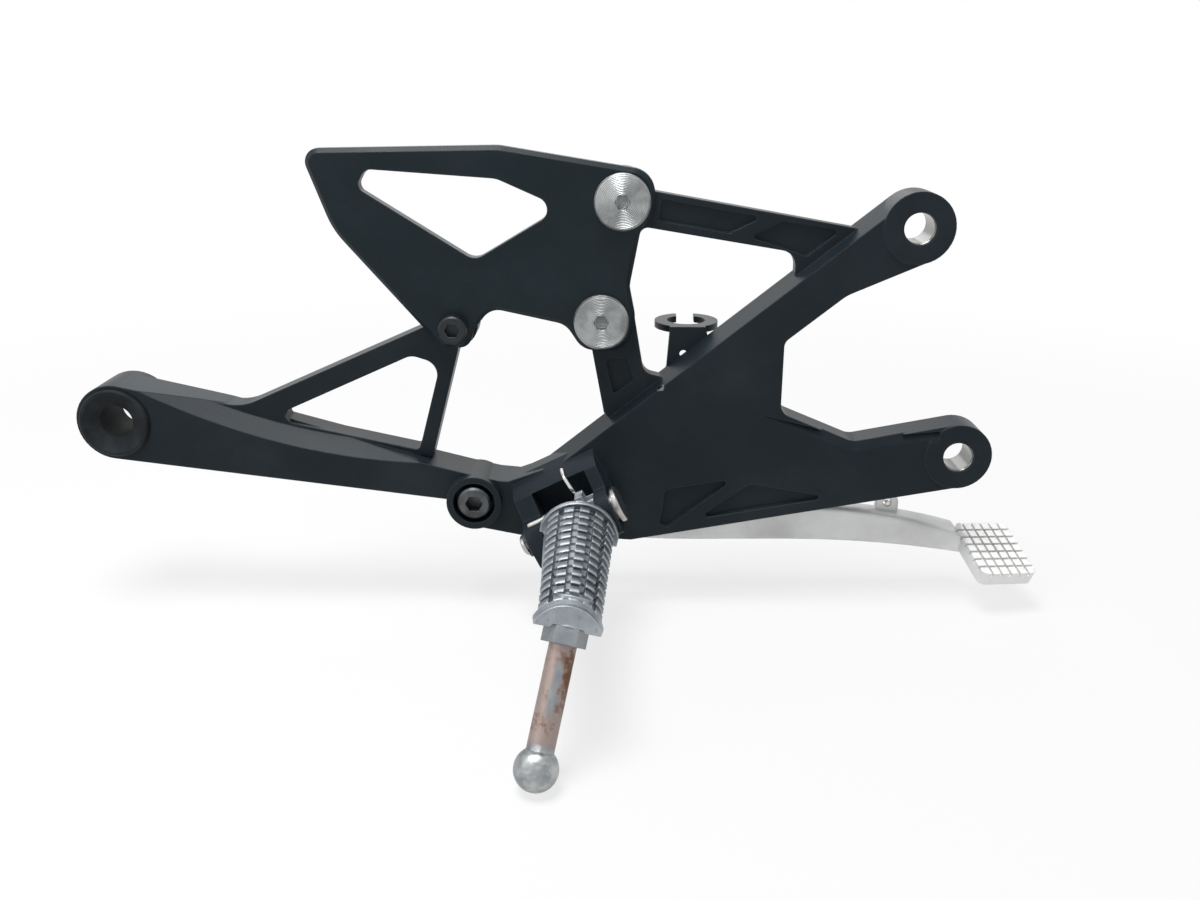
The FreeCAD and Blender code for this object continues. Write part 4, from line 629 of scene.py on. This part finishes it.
def makePegSpring():
    # a helix about the pin, its shift growing evenly with its angle, and a leg at each end
    s = pegSpring
    turn = math.radians(s["angle"])
    along = np.array((math.cos(turn), 0.0, math.sin(turn)))
    out = np.array((0.0, -1.0, 0.0))
    up = np.array((-math.sin(turn), 0.0, math.cos(turn)))
    pin = np.array(s["pin"])
    sweep = 2 * math.pi * s["turns"] + math.radians(s["extraSweep"])
    points = s["turns"] * s["pointsPerTurn"] + s["extraPoints"]
    angle = math.radians(s["firstAngle"]) - np.linspace(0.0, sweep, points)
    shift = np.linspace(-s["room"], s["room"], points)
    coil = np.stack([shift, s["coil"] * np.cos(angle), s["coil"] * np.sin(angle)], axis=1)
    lead = np.array(s["lead"]) + s["rest"]
    tail = np.array(s["tail"]) + (s["room"], 0.0, s["roof"])
    path = pin + np.vstack([lead, coil, tail]) @ np.stack([along, out, up])
    piece = wireAlong("pegReturnSpringWire", smoothPath(path, s["stations"]), s["wire"])
    hangSpring(piece, "peg_return_spring", pin + along * s["held"], pin + along * s["pulled"])


# in metres; the knee is counted from the post's hook and the tail from the tab, along, across and up
pedalSpring = {
    "post": (-0.052, 0.009, -0.086), "tab": (0.003, 0.009, -0.1146), "wire": 0.0008, "coil": 0.004,
    "postRadius": 0.0026, "postGap": 0.0001, "eyeHalfTurn": 150.0, "eyePoints": 13,
    "turns": 14, "pointsPerTurn": 16, "stations": 900, "leadIn": 0.008, "leadOut": 0.0107,
    "knee": (0.004, 0.0005, 0.002),
    "tail": ((-0.0083, 0.0016, 0.002), (-0.0063, 0.0029, 0.0008), (-0.0006, 0.0029, 0.0), (0.0, 0.0021, 0.0),
             (0.0001, -0.0024, 0.0)),
}


def makePedalSpring():
    # an arc round the post, a helix along the line to the tab, and a hook round the tab
    s = pedalSpring
    start = np.array(s["post"])
    reach = np.array(s["tab"]) - start
    length = np.linalg.norm(reach)
    along = reach / length
    across = np.array((0.0, 1.0, 0.0))
    up = np.cross(across, along)
    hook = s["postRadius"] + s["wire"] + s["postGap"]
    angle = np.radians(np.linspace(-s["eyeHalfTurn"], s["eyeHalfTurn"], s["eyePoints"]))
    eye = np.stack([-hook * np.cos(angle), np.zeros(angle.size), hook * np.sin(angle)], axis=1)
    first = hook + s["leadIn"]
    last = length - s["leadOut"]
    turn = np.linspace(0.0, 2 * np.pi * s["turns"], s["turns"] * s["pointsPerTurn"] + 1) + np.pi / 2
    shift = np.linspace(first, last, turn.size)
    coil = np.stack([shift, -s["coil"] * np.cos(turn), s["coil"] * np.sin(turn)], axis=1)
    knee = np.array([s["knee"]]) + (hook, 0.0, 0.0)
    tail = np.array(s["tail"]) + (length, 0.0, 0.0)
    path = start + np.vstack([eye, knee, coil, tail]) @ np.stack([along, across, up])
    piece = wireAlong("pedalReturnSpringWire", smoothPath(path, s["stations"]), s["wire"])
    hangSpring(piece, "pedal_return_spring", start + along * first, start + along * last)


makePegSpring()
makePedalSpring()
print("springs wound")

# fade and middle are in millimetres, the floor's size and gap in metres
stage = {
    "floorSize": 6.0, "floorGap": 0.0003, "floorColour": (0.86, 0.86, 0.855), "floorRough": 0.9,
    "nearWhite": 0.74, "fade": (160.0, 750.0), "middle": (-130.0, -40.0),
    "skyColour": (0.94, 0.97, 1.0), "skyStrength": 0.24, "white": (1.0, 1.0, 1.0, 1.0),
}


def makeFloor():
    s = stage
    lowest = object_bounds()[0].z - s["floorGap"]
    half = s["floorSize"] / 2
    corners = [(x * half, y * half, lowest) for x, y in ((-1, -1), (1, -1), (1, 1), (-1, 1))]
    mesh = bpy.data.meshes.new("paleFloor")
    mesh.from_pydata(corners, [], [(0, 1, 2, 3)])
    floor = bpy.data.objects.new("paleFloor", mesh)
    bpy.context.scene.collection.objects.link(floor)
    f = Finish("palePaper", Roughness=s["floorRough"], Base_Color=(*s["floorColour"], 1.0))
    dx, dy = f.offsets(s["middle"])
    away = (dx ** 2.0 + dy ** 2.0).root()
    whiteShare = s["nearWhite"] + away.over(*s["fade"]) * (1.0 - s["nearWhite"])    # fades the shadows
    white = f.add("ShaderNodeEmission", {}, {"Color": s["white"], "Strength": 1.0})
    f.whiteForViewers(f.shader, white, "Material Output", whiteShare)
    mesh.materials.append(f.material)


def makeSky():
    s = stage
    world = bpy.data.worlds.new("studio")
    bpy.context.scene.world = world
    world.use_nodes = True
    bench = Bench(world.node_tree)
    glow = world.node_tree.nodes["Background"]
    glow.inputs["Color"].default_value = (*s["skyColour"], 1.0)
    glow.inputs["Strength"].default_value = s["skyStrength"]
    white = bench.add("ShaderNodeBackground", {}, {"Color": s["white"], "Strength": 1.0})
    bench.whiteForViewers(glow, white, "World Output")


lampAim = (-0.13, -0.03, -0.06)
lamps = (
    {"name": "overheadSoftbox", "spot": (-0.30, -0.20, 0.90), "size": 0.5, "power": 10.0},
    {"name": "backSoftbox", "spot": (-0.25, 1.00, 0.62), "size": 0.9, "power": 2.5},
    {"name": "leftFill", "spot": (-0.85, -0.55, 0.35), "size": 0.6, "power": 1.4},
)
viewpoint = {
    "spot": (-0.1082, -0.4135, 0.0569), "way": (-0.01545, 0.94241, -0.33409),
    "lens": 33.0, "sensor": 36.0, "nearest": 0.01, "farthest": 50.0,
}


def mount(name, data, spot, way):
    # lamps and the camera look along their own -Z
    holder = bpy.data.objects.new(name, data)
    holder.location = spot
    holder.rotation_euler = Vector(way).to_track_quat("-Z", "Y").to_euler()
    bpy.context.scene.collection.objects.link(holder)
    return holder


def makeLamps():
    for s in lamps:
        lamp = bpy.data.lights.new(s["name"], "AREA")
        lamp.shape = "SQUARE"
        lamp.size = s["size"]
        lamp.energy = s["power"]
        mount(s["name"], lamp, s["spot"], Vector(lampAim) - Vector(s["spot"]))


def makeCamera():
    s = viewpoint
    data = bpy.data.cameras.new("photoCamera")
    data.lens = s["lens"]
    data.sensor_width = s["sensor"]
    data.clip_start = s["nearest"]
    data.clip_end = s["farthest"]
    bpy.context.scene.camera = mount("photoCamera", data, s["spot"], s["way"])


makeFloor()
makeSky()
makeLamps()
makeCamera()
bpy.context.scene.view_settings.view_transform = "Standard"
print("stage, lamps and camera set")
